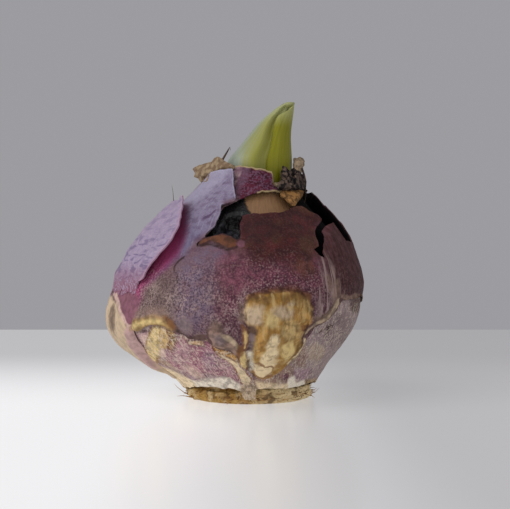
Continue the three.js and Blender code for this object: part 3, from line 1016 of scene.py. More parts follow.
@dataclass(frozen=True)
class LeafFinish:
    """Green leaf with fine parallel veins."""

    name: str
    green: Colour = (142, 140, 54)
    bright: Colour = (148, 147, 78)
    pale: Colour = (149, 158, 143)
    tip: Colour = (168, 171, 122)

    def build(self) -> bpy.types.Material:
        """Makes the material.

        Returns:
            The material.
        """
        b = Board(self.name)
        vein = b.grain(0.5, 3, b.flow("grain", 0.04))
        cloud = b.grain(3.5, 3, b.flow("grain", 0.4))
        base = b.mix(vein.rise(0.35, 0.65) * 0.6 + cloud.rise(0.4, 0.6) * 0.4, self.green, self.bright)
        # The pale mark is partly the leaf's pale streaks and partly painted light from the left.
        pale = b.mark("pale") + (vein - 0.5) * 0.9 * b.mark("pale").rise(0, 0.3)
        base = b.mix(pale.rise(0.1, 0.95), base, self.pale)
        base = b.mix(b.height().rise(61, 66) * 0.75, base, self.tip)
        return b.finish(base, 0.45, vein, 0.04, Specular_IOR_Level=0.28)


@dataclass(frozen=True)
class ShredFinish:
    """Dead, crumpled skin tops."""

    name: str
    pale: Colour
    middle: Colour
    dark: Colour
    scrap: Colour
    fold: Colour

    def build(self) -> bpy.types.Material:
        """Makes the material.

        Returns:
            The material.
        """
        b = Board(self.name)
        vein = b.grain(0.5, 3, b.flow("grain", 0.15))
        mottle, tone = b.grain(1.1, 4), b.mark("tone")
        base = b.mix(vein.rise(0.35, 0.6) * 0.6, self.pale, self.middle)
        base = b.mix(mottle.rise(0.43, 0.57), base, self.dark)
        scrap = b.mix(mottle.rise(0.45, 0.65) * 0.5, self.scrap, self.middle)
        base = b.mix(tone.rise(0.2, 0.8), base, scrap)
        fold = b.mix(mottle.rise(0.42, 0.62) * 0.7, self.fold, self.dark)
        base = b.mix(tone.rise(1.2, 1.8), base, fold)
        border = (b.mark("edge") + mottle * 0.6 - 0.3).fall(0.1, 0.4)
        base = b.mix(border * 0.4, base, self.dark)
        return b.finish(base, 0.8, vein + mottle, 0.15, Specular_IOR_Level=0.25)


@dataclass(frozen=True)
class CorkFinish:
    """Dry corky plate with dark pits."""

    tan: Colour = (198, 161, 92)
    ochre: Colour = (172, 126, 56)
    pale: Colour = (236, 212, 162)
    dark: Colour = (100, 69, 38)

    def build(self) -> bpy.types.Material:
        """Makes the material.

        Returns:
            The material.
        """
        b = Board("cork")
        mottle, fine = b.grain(1.5, 4), b.grain(0.45, 3)
        base = b.mix(mottle.rise(0.35, 0.6), self.tan, self.ochre)
        # Random pale patches, and painted light that makes the plate paler towards the right.
        painted_light_right = b.axis("X").rise(-3, 9)
        base = b.mix((b.grain(3.0, 3).rise(0.48, 0.62) * 0.7) | painted_light_right, base, self.pale)
        base = b.mix(b.grain(2.2, 4).rise(0.54, 0.64) * 0.8, base, self.dark)
        base = b.mix(fine.rise(0.52, 0.68) * 0.5, base, self.dark)
        return b.finish(base, 0.9, mottle * 0.7 + fine * 0.6, 0.3)


@dataclass(frozen=True)
class FibreFinish:
    """Thin dry fibres."""

    name: str
    colour: Colour
    tip: Colour

    def build(self) -> bpy.types.Material:
        """Makes the material.

        Returns:
            The material.
        """
        b = Board(self.name)
        base = b.mix(b.grain(1.2, 2).rise(0.35, 0.65), self.colour, self.tip)
        return b.finish(base, 0.8)


# Pieces

BULB = BulbForm()
SHOOT_FORM = ShootForm()


def grain_of(azimuth: Array, height: Array, radius: float = 29.0, stretch: float = 1.3) -> Array:
    """Places whose first two axes run round a piece and whose third runs along its veins."""
    a = np.radians(azimuth)
    return np.stack([radius * np.sin(a), radius * np.cos(a), height * stretch], axis=-1)


@dataclass
class TornSkin(Piece):
    """A papery skin that goes all round the bulb between torn edges."""

    layer: float
    heights: tuple[float, float]
    columns: int
    rows: int
    lower: Rows = ()
    upper: Rows = ()
    holes: tuple[Outline, ...] = ()
    regions: Mapping[str, Outline] = field(default_factory=dict)
    thickness: float = 0.25
    tear: tuple[float, float] = (0.55, 0.22)
    seed: float = 1.0

    def inside(self, azimuth: Array, height: Array) -> Array:
        """How far places lie inside the skin's torn outline.

        Args:
            azimuth: Azimuths of the places.
            height: Heights of the places.

        Returns:
            Millimetres from the outline, below zero outside it.
        """
        depth = np.minimum(height - along(self.lower, azimuth), along(self.upper, azimuth) - height)
        for hole in self.holes:
            depth = np.minimum(depth, -depth_inside(hole, azimuth, height))
        points = BULB.place(azimuth, height, 0.0)
        jags = self.tear[0] * roughen(points, 2.4, self.seed)
        return depth + jags + self.tear[1] * roughen(points, 0.9, self.seed + 1)

    def relief(self, azimuth: Array, height: Array, depth: Array) -> Array:
        """How far the face stands off its layer."""
        points = BULB.place(azimuth, height, 0.0)
        return 0.12 * roughen(points, 2.2, self.seed + 2) + 0.2 * roughen(points, 6.0, self.seed + 3)

    def build(self, finish: bpy.types.Material, back: bpy.types.Material) -> bpy.types.Object:
        """Makes the skin.

        Args:
            finish: Material of its face.
            back: Material of its inner face.

        Returns:
            The skin's object.
        """
        blank = Blank(self.columns, self.rows, (-180.0, 180.0), self.heights, wrapped=True)
        blank.trim(self.inside)
        azimuth, height = blank.values()
        depth = self.inside(azimuth, height)
        offset = self.layer + self.relief(azimuth, height, depth)
        blank.bend(lambda a, z: BULB.place(a, z, offset))
        blank.face_outwards((float(BULB.middle(BELLY)), 0.0))
        marks = region_depths(self.regions, azimuth, height)
        marks["edge"] = np.clip(depth, 0, MARK_REACH)
        marks["grain"] = grain_of(azimuth, height)
        return self.add(blank.mesh, (finish, back), marks, self.thickness)


@dataclass
class OuterSkin(TornSkin):
    """The outermost skin, loose on the right and scabbed at the lower front."""

    lift: float = 1.9
    corner: float = 0.8
    top_lift: float = 0.9
    hug: float = 0.75
    hug_left: float = 0.55
    loose_from: Rows = (
        (30, 44), (33.5, 44.5), (35.5, 47), (37, 52), (38.5, 57), (41, 66), (46, 80),
    )
    dents: tuple[tuple[str, float], ...] = (
        ("hollow_violet", 0.6), ("hollow_white", 0.6), ("tongue_slit", 0.3), ("tongue_crack", 0.3),
    )
    swells: tuple[tuple[str, float], ...] = (
        ("arch", 0.55), ("tongue_bottom", 0.3), ("orange", 0.35), ("patch", 0.4),
        ("rim_pale", 0.45), ("rim_ochre", 0.45),
    )

    def relief(self, azimuth: Array, height: Array, depth: Array) -> Array:
        """How far the face stands off its layer.

        Args:
            azimuth: Azimuths of the points.
            height: Heights of the points.
            depth: How far each lies from the skin's edge.

        Returns:
            Millimetres outwards for each point.
        """
        base = super().relief(azimuth, height, depth)
        around = smooth(azimuth - along(self.loose_from, height), -2, 8) * (1 - smooth(azimuth, 118, 150))
        base = base + self.lift * around * smooth(height, 26, 40)
        base = base + self.corner * smooth(azimuth, 44, 60) * (1 - around) * smooth(height, 36, 41)
        left = smooth(-azimuth, 30, 50) * (1 - smooth(-azimuth, 110, 130))
        base = base + self.top_lift * left * smooth(height, 44, 50)
        far_left = smooth(-azimuth, 47, 54) * (1 - smooth(-azimuth, 118, 134))
        hug = self.hug + self.hug_left * far_left
        base = base - hug * (1 - smooth(depth, 0, 3.5)) * (1 - smooth(height, 26, 30))
        points = BULB.place(azimuth, height, 0.0)
        crust = 0.35 * roughen(points, 1.7, 9) + 0.3 * roughen(points, 4.0, 10) + 0.35
        base = base + smooth(depth_inside(self.regions["tongue"], azimuth, height), -0.6, 1.2) * crust
        for name, drop in self.dents:
            base = base - drop * smooth(depth_inside(self.regions[name], azimuth, height), -0.4, 0.5)
        for name, swell in self.swells:
            base = base + swell * smooth(depth_inside(self.regions[name], azimuth, height), -0.5, 0.8)
        return base + 0.2 * (1 - smooth(depth, 0, 1.2))


@dataclass
class Flap(TornSkin):
    """The lilac flap that has come away at the upper left, with its right edge curled off."""

    right: Rows = ()
    left: Rows = ()
    across: tuple[float, float] = (-128.0, -28.0)
    root: float = 0.12
    curl: float = 1.5
    swell: float = 0.5
    wrinkle: float = 0.1

    def span(self, height: Array) -> tuple[Array, Array]:
        """Azimuths of the right and left edges at a height."""
        return along(self.right, height), along(self.left, height)

    def inside(self, azimuth: Array, height: Array) -> Array:
        """How far places lie inside the flap's outline.

        Args:
            azimuth: Azimuths of the places.
            height: Heights of the places.

        Returns:
            Millimetres from the outline, below zero outside it.
        """
        right, left = self.span(height)
        bottom, top = self.right[0][0], self.right[-1][0]
        sides = np.minimum(right - azimuth, azimuth - left) / DEGREES_PER_MM
        depth = np.minimum(sides, np.minimum(height - bottom, top - height))
        points = BULB.place(azimuth, height, 0.0)
        frayed = self.tear[0] * roughen(points, 1.6, self.seed) * (1 - smooth(height, 25, 28.5))
        return depth + frayed + self.tear[1] * roughen(points, 2.6, self.seed + 1)

    def build(self, finish: bpy.types.Material, back: bpy.types.Material) -> bpy.types.Object:
        """Makes the flap.

        Args:
            finish: Material of its face.
            back: Material of its inner face.

        Returns:
            The flap's object.
        """
        blank = Blank(self.columns, self.rows, self.across, self.heights)
        blank.trim(self.inside)
        azimuth, height = blank.values()
        right, left = self.span(height)
        u = np.clip((right - azimuth) / (right - left), 0, 1)
        points = BULB.place(azimuth, height, 0.0)
        curl = self.curl * (1 - smooth(u, 0, 0.24)) * smooth(height, 25, 32)
        swell = self.swell * np.sin(np.pi * smooth(u, 0, 0.7)) * smooth(height, 26, 33)
        wave = self.wrinkle * np.sin(1.3 * height + azimuth / 8) * smooth(u, 0.05, 0.2)
        crinkle = 0.12 * roughen(points * np.array([0.5, 0.5, 1.6]), 1.9, 21)
        shut = smooth(height, 24.2, 28)
        offset = self.root + (self.layer - self.root + curl + swell + wave + crinkle) * shut
        blank.bend(lambda a, z: BULB.place(a, z, offset))
        blank.face_outwards((float(BULB.middle(BELLY)), 0.0))
        marks = {
            "edge": np.clip((right - azimuth) / DEGREES_PER_MM, 0, MARK_REACH),
            "grain": grain_of(azimuth, height),
        }
        return self.add(blank.mesh, (finish, back), marks, self.thickness)


@dataclass
class Flesh(Piece):
    """The fleshy scales as one body, with the hollow that the shoot grows from."""

    foot: float = 2.4
    top: float = 47.6
    hollow_floor: float = 41.0
    hollow_radius: float = 8.0
    hollow_middle: float = 2.3
    under_middle: float = 3.7
    pocket: Outline = ()
    pocket_depth: float = 2.6
    regions: Mapping[str, Outline] = field(default_factory=dict)
    stops: tuple[float, ...] = (0.08, 0.80, 0.86, 0.94)  # shares where underside, side, rim, well end

    def side_height(self, share: Array) -> Array:
        """Height on the outer side at a share of the way from the underside's middle."""
        return self.foot + (self.top - self.foot) * ramp(share, *self.stops[:2])

    def build(self, finish: bpy.types.Material) -> bpy.types.Object:
        """Makes the flesh: its underside, outer side, rim and hollow, one after another.

        Args:
            finish: Material of the flesh.

        Returns:
            The flesh's object.
        """
        blank = Blank(220, 150, (-180.0, 180.0), (0.0, 1.0), wrapped=True)
        under_end, side_end, rim_end, well_end = self.stops
        azimuth, share = blank.values()
        height = self.side_height(share)
        rotten = smooth(depth_inside(self.pocket, azimuth, height), -0.4, 0.6)
        offset = FLESH_LAYER - self.pocket_depth * rotten
        side = BULB.place(azimuth, height, offset)
        inwards = ramp(share, 0, under_end)
        base = BULB.place(azimuth, np.full_like(height, self.foot), FLESH_LAYER)
        under = np.stack([
            base[:, 0] * inwards, base[:, 1] * inwards,
            self.under_middle + (base[:, 2] - self.under_middle) * inwards], axis=-1)
        rim = ramp(share, side_end, rim_end)[:, None]
        radius = self.hollow_radius * (1 - ramp(share, well_end, 1))
        down = self.top + (self.hollow_floor - self.top) * ramp(share, rim_end, well_end)
        well = ring(self.hollow_middle, radius, azimuth, down)
        points = np.where((share < under_end)[:, None], under, side * (1 - rim) + well * rim)
        blank.bend(lambda _a, _z: points)
        bmesh.ops.remove_doubles(blank.mesh, verts=blank.mesh.verts, dist=WELD)
        blank.face_outwards((0.0, 0.0))
        azimuth, share = blank.values()
        height = self.side_height(share)
        marks = region_depths(self.regions, azimuth, height)
        marks["grain"] = grain_of(azimuth, height)
        return self.add(blank.mesh, (finish,), marks)


class LeafKind(Enum):
    """The three leaves of the shoot."""

    FRONT = "front"
    BACK = "back"
    INNER = "inner"


@dataclass
class Leaf(Piece):
    """A leaf of the shoot."""

    kind: LeafKind
    foot: float = 41.3
    front_tip: float = 66.9
    back_tip: float = 67.5
    inner_tip: float = 62.0
    thickness: float = 0.9
    underlap: float = 1.35
    rib: float = 0.014

    def crease(self, height: Array) -> Array:
        """Azimuth at which the front leaf's near margin lies over the back leaf."""
        return 15 - 21 * smooth(height, 57, 65.4) + 62 * smooth(height, 63.8, self.front_tip)

    def front(self, u: Array, v: Array) -> tuple[Array, Array, Array]:
        """Places on the front leaf.

        Args:
            u: Share of the way across the leaf.
            v: Share of the way up it.

        Returns:
            Azimuth, height and depth in the shoot.
        """
        height = self.foot + (self.front_tip - self.foot) * v
        near = self.crease(height)
        far = 146 - 26 * smooth(height, 57, 65.4) - 46 * smooth(height, 64, self.front_tip)
        tucked = 0.3 * (1 - smooth(u, 0, 0.15)) * (1 - smooth(height, 62, 66))
        return near + (far - near) * u, height, tucked

    def back(self, u: Array, v: Array) -> tuple[Array, Array, Array]:
        """Places on the back leaf.

        Args:
            u: Share of the way across the leaf.
            v: Share of the way up it.

        Returns:
            Azimuth, height and depth in the shoot.
        """
        height = self.foot + (self.back_tip - self.foot) * v
        turn = self.crease(np.minimum(height, 64)) - 4
        outside = -204 + (turn + 204) * np.minimum(u / 0.8, 1)
        under = 34 + 116 * smooth(height, 60, 65)
        azimuth = outside + (under - outside) * np.maximum(0, (u - 0.8) / 0.2)
        hood = smooth(height, 66.0, 67.1)
        return azimuth, height, self.underlap * smooth(u, 0.71, 0.8) * (1 - hood)

    def inner(self, u: Array, v: Array) -> tuple[Array, Array, Array]:
        """Places on the rolled inner leaf.

        Args:
            u: Share of the way across the leaf.
            v: Share of the way up it.

        Returns:
            Azimuth, height and depth in the shoot.
        """
        height = self.foot + (self.inner_tip - self.foot) * v
        hidden = 1.0 + self.underlap + FIT
        return 360 * u - 180, height, hidden + 0.5 * v + 6 * smooth(v, 0.9, 1.0)

    def build(self, finish: bpy.types.Material) -> bpy.types.Object:
        """Makes the leaf.

        Args:
            finish: Material of the leaf.

        Returns:
            The leaf's object.
        """
        shape = {LeafKind.FRONT: self.front, LeafKind.BACK: self.back, LeafKind.INNER: self.inner}[self.kind]
        blank = Blank(110, 150, (0.0, 1.0), (0.0, 1.0), wrapped=self.kind is LeafKind.INNER)
        u, v = blank.values()
        azimuth, height, depth = shape(u, v)
        a = np.radians(azimuth)
        ribs = self.rib * np.sin(a * 40 + 3 * np.sin(a * 5)) * (1 - smooth(v, 0.8, 1))
        blank.bend(lambda _u, _v: SHOOT_FORM.place(azimuth, height, depth + ribs))
        blank.face_outwards((3.0, 0.0))
        # Paler grey-green towards the left and lower left: partly the leaf's pale streaks, partly painted
        # light from the left.
        left = smooth(-azimuth, 2, 82) * (1 - smooth(-azimuth, 130, 170))
        pale = left * 0.78 + 0.45 * (1 - smooth(height, 52, 59)) * smooth(-azimuth, -5, 55)
        marks = {"pale": np.clip(pale, 0, 1), "grain": grain_of(azimuth, height, 7.0, 1.0)}
        return self.add(blank.mesh, (finish,), marks, self.thickness)


@dataclass(frozen=True)
class Scrap:
    """A scrap of dead skin, cut to an outline seen from the front out of a leaning, crumpled sheet."""

    outline: Outline
    anchor: Point
    lean: tuple[float, float]
    tone: float
    crumple: float = 0.35
    cell: float = 0.16
    spare: float = 0.3

    def cut(self, seed: float) -> tuple[bmesh.types.BMesh, Array, Array]:
        """Cuts the scrap.

        Args:
            seed: Which crumples it gets.

        Returns:
            Its mesh, its points, and how far each lies from its edge.
        """
        corners = np.array(self.outline, float)
        low, high = corners.min(axis=0) - self.spare, corners.max(axis=0) + self.spare
        counts = [int(span / self.cell) + 4 for span in high - low]
        blank = Blank(counts[0], counts[1], (low[0], high[0]), (low[1], high[1]))

        def inside(x: Array, z: Array) -> Array:
            """How far inside the frayed outline."""
            line = np.stack([x, 0 * x, z], axis=-1)
            return depth_in_plane(self.outline, x, z) + 0.14 * roughen(line, 0.7, seed)

        blank.trim(inside)
        x, z = blank.values()
        depth = inside(x, z)
        flat = np.stack([x, 0 * x, z], axis=-1)
        y = self.anchor[1] + self.lean[0] * (x - self.anchor[0]) + self.lean[1] * (z - self.anchor[2])
        y = y - self.crumple * (roughen(flat, 1.9, seed + 1) + 0.5 * roughen(flat, 0.8, seed + 2))
        y = y + 0.5 * (1 - smooth(depth, 0, 1.2))
        points = blank.bend(lambda _x, _z: np.stack([x, y, z], axis=-1))
        blank.face_outwards((2.0, 0.0))
        return blank.mesh, points, depth


@dataclass
class NeckShreds(Piece):
    """Frayed tops of old skins round part of the neck."""

    start: float
    end: float
    foot: float
    reach: float
    flare: float
    offset: float
    layers: int
    seed: int
    scraps: tuple[Scrap, ...] = ()
    thickness: float = 0.2

    def build(self, finish: bpy.types.Material) -> bpy.types.Object:
        """Makes the shreds.

        Args:
            finish: Material of the shreds.

        Returns:
            Their object.
        """
        joined = bmesh.new()
        grains, tones, edges = [], [], []
        for layer in range(self.layers):
            azimuth, height, mesh = self._ribbon(layer)
            self._join(joined, mesh)
            grains.append(grain_of(azimuth, height + 40 * layer, 9.0, 1.0))
            tones.append(np.zeros(len(azimuth)))
            edges.append(np.full(len(azimuth), 3.0))
        for count, scrap in enumerate(self.scraps):
            mesh, points, depth = scrap.cut(self.seed + 50 + 3 * count)
            self._join(joined, mesh)
            grains.append(points)
            tones.append(np.full(len(points), scrap.tone))
            edges.append(depth)
        marks = {"grain": np.concatenate(grains), "tone": np.concatenate(tones),
                 "edge": np.concatenate(edges)}
        return self.add(joined, (finish,), marks, self.thickness)

    @staticmethod
    def _join(joined: bmesh.types.BMesh, mesh: bmesh.types.BMesh) -> None:
        """Adds one mesh to another.

        Args:
            joined: Mesh that grows.
            mesh: Mesh that is added and used up.
        """
        holder = bpy.data.meshes.new("part")
        mesh.to_mesh(holder)
        mesh.free()
        joined.from_mesh(holder)
        bpy.data.meshes.remove(holder)

    def _ribbon(self, layer: int) -> tuple[Array, Array, bmesh.types.BMesh]:
        """Makes one crumpled ribbon.

        Args:
            layer: Its number, counted from the inside.

        Returns:
            The azimuths and heights of its points, and its mesh.
        """
        seed = self.seed + 7 * layer
        blank = Blank(90, 44, (0.0, 1.0), (0.0, 1.0))

        def inside(u: Array, v: Array) -> Array:
            """How far inside the ribbon's ragged outline.

            Args:
                u: Share of the way along the ribbon.
                v: Share of the way up it.

            Returns:
                The distance as a share of its height.
            """
            line = np.stack([u * 26, 0 * u, 0 * u], axis=-1)
            swell = np.sqrt(np.clip(np.sin(np.pi * np.clip(u, 0, 1)), 0, 1))
            points = 0.42 + 0.5 * roughen(line, 2.6, seed) + 0.35 * roughen(line, 1.0, seed + 1)
            top = np.clip(points, 0.12, 1.0) * (0.35 + 0.65 * swell)
            return np.minimum(top - v, np.minimum(u, 1 - u) * 4 + 0.02)

        blank.trim(inside)
        u, v = blank.values()
        azimuth = self.start + (self.end - self.start) * u
        height = self.foot + (1.8 + self.reach) * v
        swell = np.clip(np.sin(np.pi * u), 0, 1) ** 0.5
        bare = np.stack([azimuth / 6, 0 * u, height], axis=-1)
        out = self.flare * (0.3 + 0.3 * layer / max(self.layers - 1, 1)) * v**1.4 * swell
        crumple = 0.9 * roughen(bare, 1.5, seed + 2) * v + 0.35 * roughen(bare, 0.7, seed + 3) * v
        offset = self.offset + np.maximum(out + crumple, 0) + 0.22 * layer
        blank.bend(lambda _u, _v: BULB.place(azimuth + 5 * roughen(bare, 2.2, seed + 4) * v, height, offset))
        blank.face_outwards((2.0, 0.0))
        return azimuth, height, blank.mesh


@dataclass
class CorkPlate(Piece):
    """The basal plate that the bulb stands on, with a crumbling rim."""

    top: float = 3.4
    flat: float = 12.4
    rim: float = 14.3
    neck: float = 12.6
    worn: float = 1.4

    def build(self, finish: bpy.types.Material) -> bpy.types.Object:
        """Makes the plate, from the middle of its underside round to the middle of its top.

        Args:
            finish: Material of the plate.

        Returns:
            The plate's object.
        """
        profile: Rows = (
            (0.0, 0.0, 0.0), (0.3, self.flat, 0.0), (0.42, self.rim, 0.16 * self.top),
            (0.6, self.rim, 0.72 * self.top), (0.72, self.neck, 0.9 * self.top),
            (0.8, self.neck - 0.2, self.top), (1.0, 0.0, self.top),
        )
        blank = Blank(260, 80, (-180.0, 180.0), (0.0, 1.0), wrapped=True)
        azimuth, share = blank.values()
        radius = along([(row[0], row[1]) for row in profile], share)
        height = along([(row[0], row[2]) for row in profile], share)
        edge = ring(0.0, radius, azimuth, height)
        outer = smooth(share, 0.3, 0.42) * (1 - smooth(share, 0.62, 0.75))
        crumb = 0.95 * roughen(edge, 1.8, 41) + 0.55 * roughen(edge, 0.8, 42) - 0.35
        radius = radius + outer * np.minimum(crumb, 0.25)
        worn = self.worn * smooth(azimuth, -15, 8) * (1 - smooth(azimuth, 55, 80)) * smooth(share, 0.3, 0.42)
        lumps = outer * 0.35 * roughen(edge, 1.3, 43)
        height = np.clip(height + worn * (1 - smooth(share, 0.6, 0.8)) + lumps, 0, self.top)
        blank.bend(lambda _a, _s: ring(0.0, radius, azimuth, height, BULB.depth_ratio))
        bmesh.ops.remove_doubles(blank.mesh, verts=blank.mesh.verts, dist=WELD)
        blank.face_outwards((0.0, 0.0))
        return self.add(blank.mesh, (finish,))


@dataclass
class Fibres(Piece):
    """Thin dry fibres, each a tapering strand."""

    strands: list[list[Point]] = field(default_factory=list)
    width: float = 0.12

    def build(self, finish: bpy.types.Material) -> bpy.types.Object:
        """Makes the fibres.

        Args:
            finish: Material of the fibres.

        Returns:
            Their object.
        """
        curve = bpy.data.curves.new(self.name, "CURVE")
        curve.dimensions = "3D"
        curve.bevel_depth = self.width * METRES
        curve.bevel_resolution = 0
        curve.use_fill_caps = True
        for strand in self.strands:
            line = curve.splines.new("POLY")
            line.points.add(len(strand) - 1)
            for i, (point, place) in enumerate(zip(line.points, strand)):
                point.co = (*(c * METRES for c in place), 1.0)
                point.radius = 1.0 - 0.8 * i / (len(strand) - 1)
        piece = put(self.name, curve)
        data = settled(piece)
        bpy.data.objects.remove(piece)
        bpy.data.curves.remove(curve)
        mesh = bmesh.new()
        mesh.from_mesh(data)
        bpy.data.meshes.remove(data)
        bmesh.ops.recalc_face_normals(mesh, faces=mesh.faces)
        return self.add(mesh, (finish,))


def root_strands(count: int = 110, radius: float = 13.6) -> list[list[Point]]:
    """Ends of old roots round the plate's rim.

    Args:
        count: How many are drawn at random.
        radius: How far from the axis they start.

    Returns:
        The points of each strand, two longer ones at the left last.
    """
    random = Random(71)
    strands = []
    for _ in range(count):
        azimuth = random.uniform(-180, 180)
        height = random.uniform(0.5, 2.2)
        length = random.uniform(0.4, 1.9) * (1.6 if random.random() < 0.12 else 1)
        drift, fall = random.uniform(-14, 14), random.uniform(-0.4, 0.5)
        strand = []
        for k in range(4):
            a = math.radians(azimuth + drift * k / 3)
            r = radius + length * k / 3
            z = max(height + fall * length * (k / 3) ** 2, 0.15)
            strand.append((r * math.sin(a), -BULB.depth_ratio * r * math.cos(a), z))
        strands.append(strand)
    strands.append([(-12.6, -6, 0.7), (-14.0, -6, 1.0), (-15.2, -6, 1.1), (-16.2, -6, 1.0)])
    strands.append([(-13.4, -4, 1.0), (-14.8, -4, 1.6), (-16.1, -4, 2.6), (-17.0, -4, 3.5)])
    return strands


# Setting


@dataclass(frozen=True)
class Studio:
    """Pale glossy table, grey wall, soft light from the left and the camera."""

    camera_place: Point = (0.00115, -0.220, 0.028)
    tilt: float = 1.2
    lens: float = 67.76
    table_back: float = 0.269
    table_width: float = 3.0
    glow: float = 1.0
    wall_colour: tuple[float, float, float, float] = (0.335, 0.330, 0.350, 1)

    def camera(self) -> None:
        """Makes the camera at the photograph's viewing angle."""
        data = bpy.data.cameras.new("camera")
        data.lens = self.lens
        data.clip_start = 0.01
        camera = put("camera", data)
        camera.location = self.camera_place
        camera.rotation_euler = (math.radians(90 + self.tilt), 0, 0)
        bpy.context.scene.camera = camera

    def table(self) -> None:
        """Makes the table that the bulb stands on."""
        mesh = bmesh.new()
        bmesh.ops.create_grid(mesh, x_segments=1, y_segments=1, size=0.5)
        for vert in mesh.verts:
            vert.co.x *= self.table_width
            vert.co.y = vert.co.y + self.table_back - 0.5
        data = bpy.data.meshes.new("table")
        mesh.to_mesh(data)
        mesh.free()
        data.materials.append(self.table_finish())
        put("table", data)

    def table_finish(self) -> bpy.types.Material:
        """Makes the glossy sheet that glows like a light table, with a painted pool of light at the near
        left.

        Returns:
            The material.
        """
        b = Board("table")
        # Painted light: the glow is brightest at the near left, standing for the pool of light from the key.
        near = b.axis("Y").fall(-20, 130)
        left = b.axis("X").fall(-26, 34)
        glow = 0.16 + near * 0.08 + left * (near * 0.28 + 0.1)
        colour = b.mix(glow, (0, 0, 0), (255, 255, 255))
        return b.finish((150, 150, 152), 0.25, Emission_Color=colour, Emission_Strength=self.glow)

    def lights(self) -> None:
        """Makes the soft lights and the grey wall all round."""
        world = bpy.data.worlds.new("wall")
        bpy.context.scene.world = world
        world.use_nodes = True
        wall = world.node_tree.nodes["Background"]
        wall.inputs["Color"].default_value = self.wall_colour
        wall.inputs["Strength"].default_value = 1.0
        self._panel("key", (-0.50, -0.32, 0.50), 0.6, 3.4)
        self._panel("fill", (0.45, -0.50, 0.30), 0.6, 0.7)

    @staticmethod
    def _panel(name: str, place: Point, size: float, power: float) -> None:
        """Makes one square light that faces the bulb.

        Args:
            name: The light's name.
            place: Where it stands, in metres.
            size: Its side in metres.
            power: Its power in watts.
        """
        data = bpy.data.lights.new(name, "AREA")
        data.size = size
        data.energy = power
        panel = put(name, data)
        panel.location = place
        aim = Vector((0, 0, 0.03)) - panel.location
        panel.rotation_euler = aim.to_track_quat("-Z", "Y").to_euler()

    def build(self) -> None:
        """Makes the whole setting."""
        bpy.context.scene.view_settings.view_transform = "Standard"
        self.camera()
        self.table()
        self.lights()


BLACK_HOLE: Outline = (
    (-17, 43), (-8.5, 43.25), (-6, 44), (-4, 44.75), (7.5, 40.75), (1, 40), (-0.5, 38.25),
    (0.5, 35.75), (-1, 34.75), (-4, 35.5), (-9.5, 36.25), (-14.5, 35.75), (-19, 35.25),
    (-21, 33.75), (-22.5, 33.5), (-19.5, 35.5), (-17.5, 36.75), (-14.5, 38.25), (-14, 40.75),
)
SKIN_CRACK: Outline = (
    (64, 41), (60, 39.6), (54.5, 38.6), (48, 37.3), (46, 35.8), (43.5, 34), (39, 33.3),
    (41, 32.2), (43.5, 31.4), (45, 31), (45, 32.4), (46.5, 34), (50, 35.6), (53.5, 37),
    (57, 37.8), (64, 38),
)
NECK_WINDOW: Outline = (
    (-6, 45.2), (1.5, 46.2), (13, 46.7), (28, 47), (42, 47), (47, 46.2), (49, 44.5), (47, 42),
    (44, 40.4), (36, 39.4), (20, 38.6), (8, 38.8), (-2, 33.6), (-18, 32.8), (-26, 32.4),
    (-22, 36.6), (-18, 38), (-17, 43.4),
)
BACK_WINDOW: Outline = (
    (166, 26), (174, 24.6), (186, 27), (197, 25.4), (203, 30), (199, 35), (190, 37.5),
    (178, 36), (170, 33.4),
)
BACK_FLESH_WINDOW: Outline = (
    (172, 27.6), (185, 29), (196, 28), (198, 33), (188, 35.4), (176, 33.6),
)
BACK_TEAR: Outline = ((-146, 41), (-143, 36), (-147, 31), (-144, 26), (-141.5, 31), (-140, 37))
ROTTEN_POCKET: Outline = ((-2, 42.6), (-12, 42), (-14, 37.8), (-19, 35.4), (-6, 36.2), (1, 38.6))
# Where the flesh in the hole is painted near black, for rot and painted shade.
ROT_AND_SHADE: Outline = (
    (-7, 48), (-3, 45.8), (7, 42.4), (6, 38), (0, 33.6), (-10, 33), (-26, 31.8), (-22, 37),
    (-19, 39), (-20, 46),
)
# Painted sheen on the dark flesh in the hole.
PAINTED_SHEEN: Outline = (
    (-17, 39.6), (-11, 40.6), (-2, 40.2), (0, 38), (-4, 36.6), (-11, 37), (-15, 38),
)

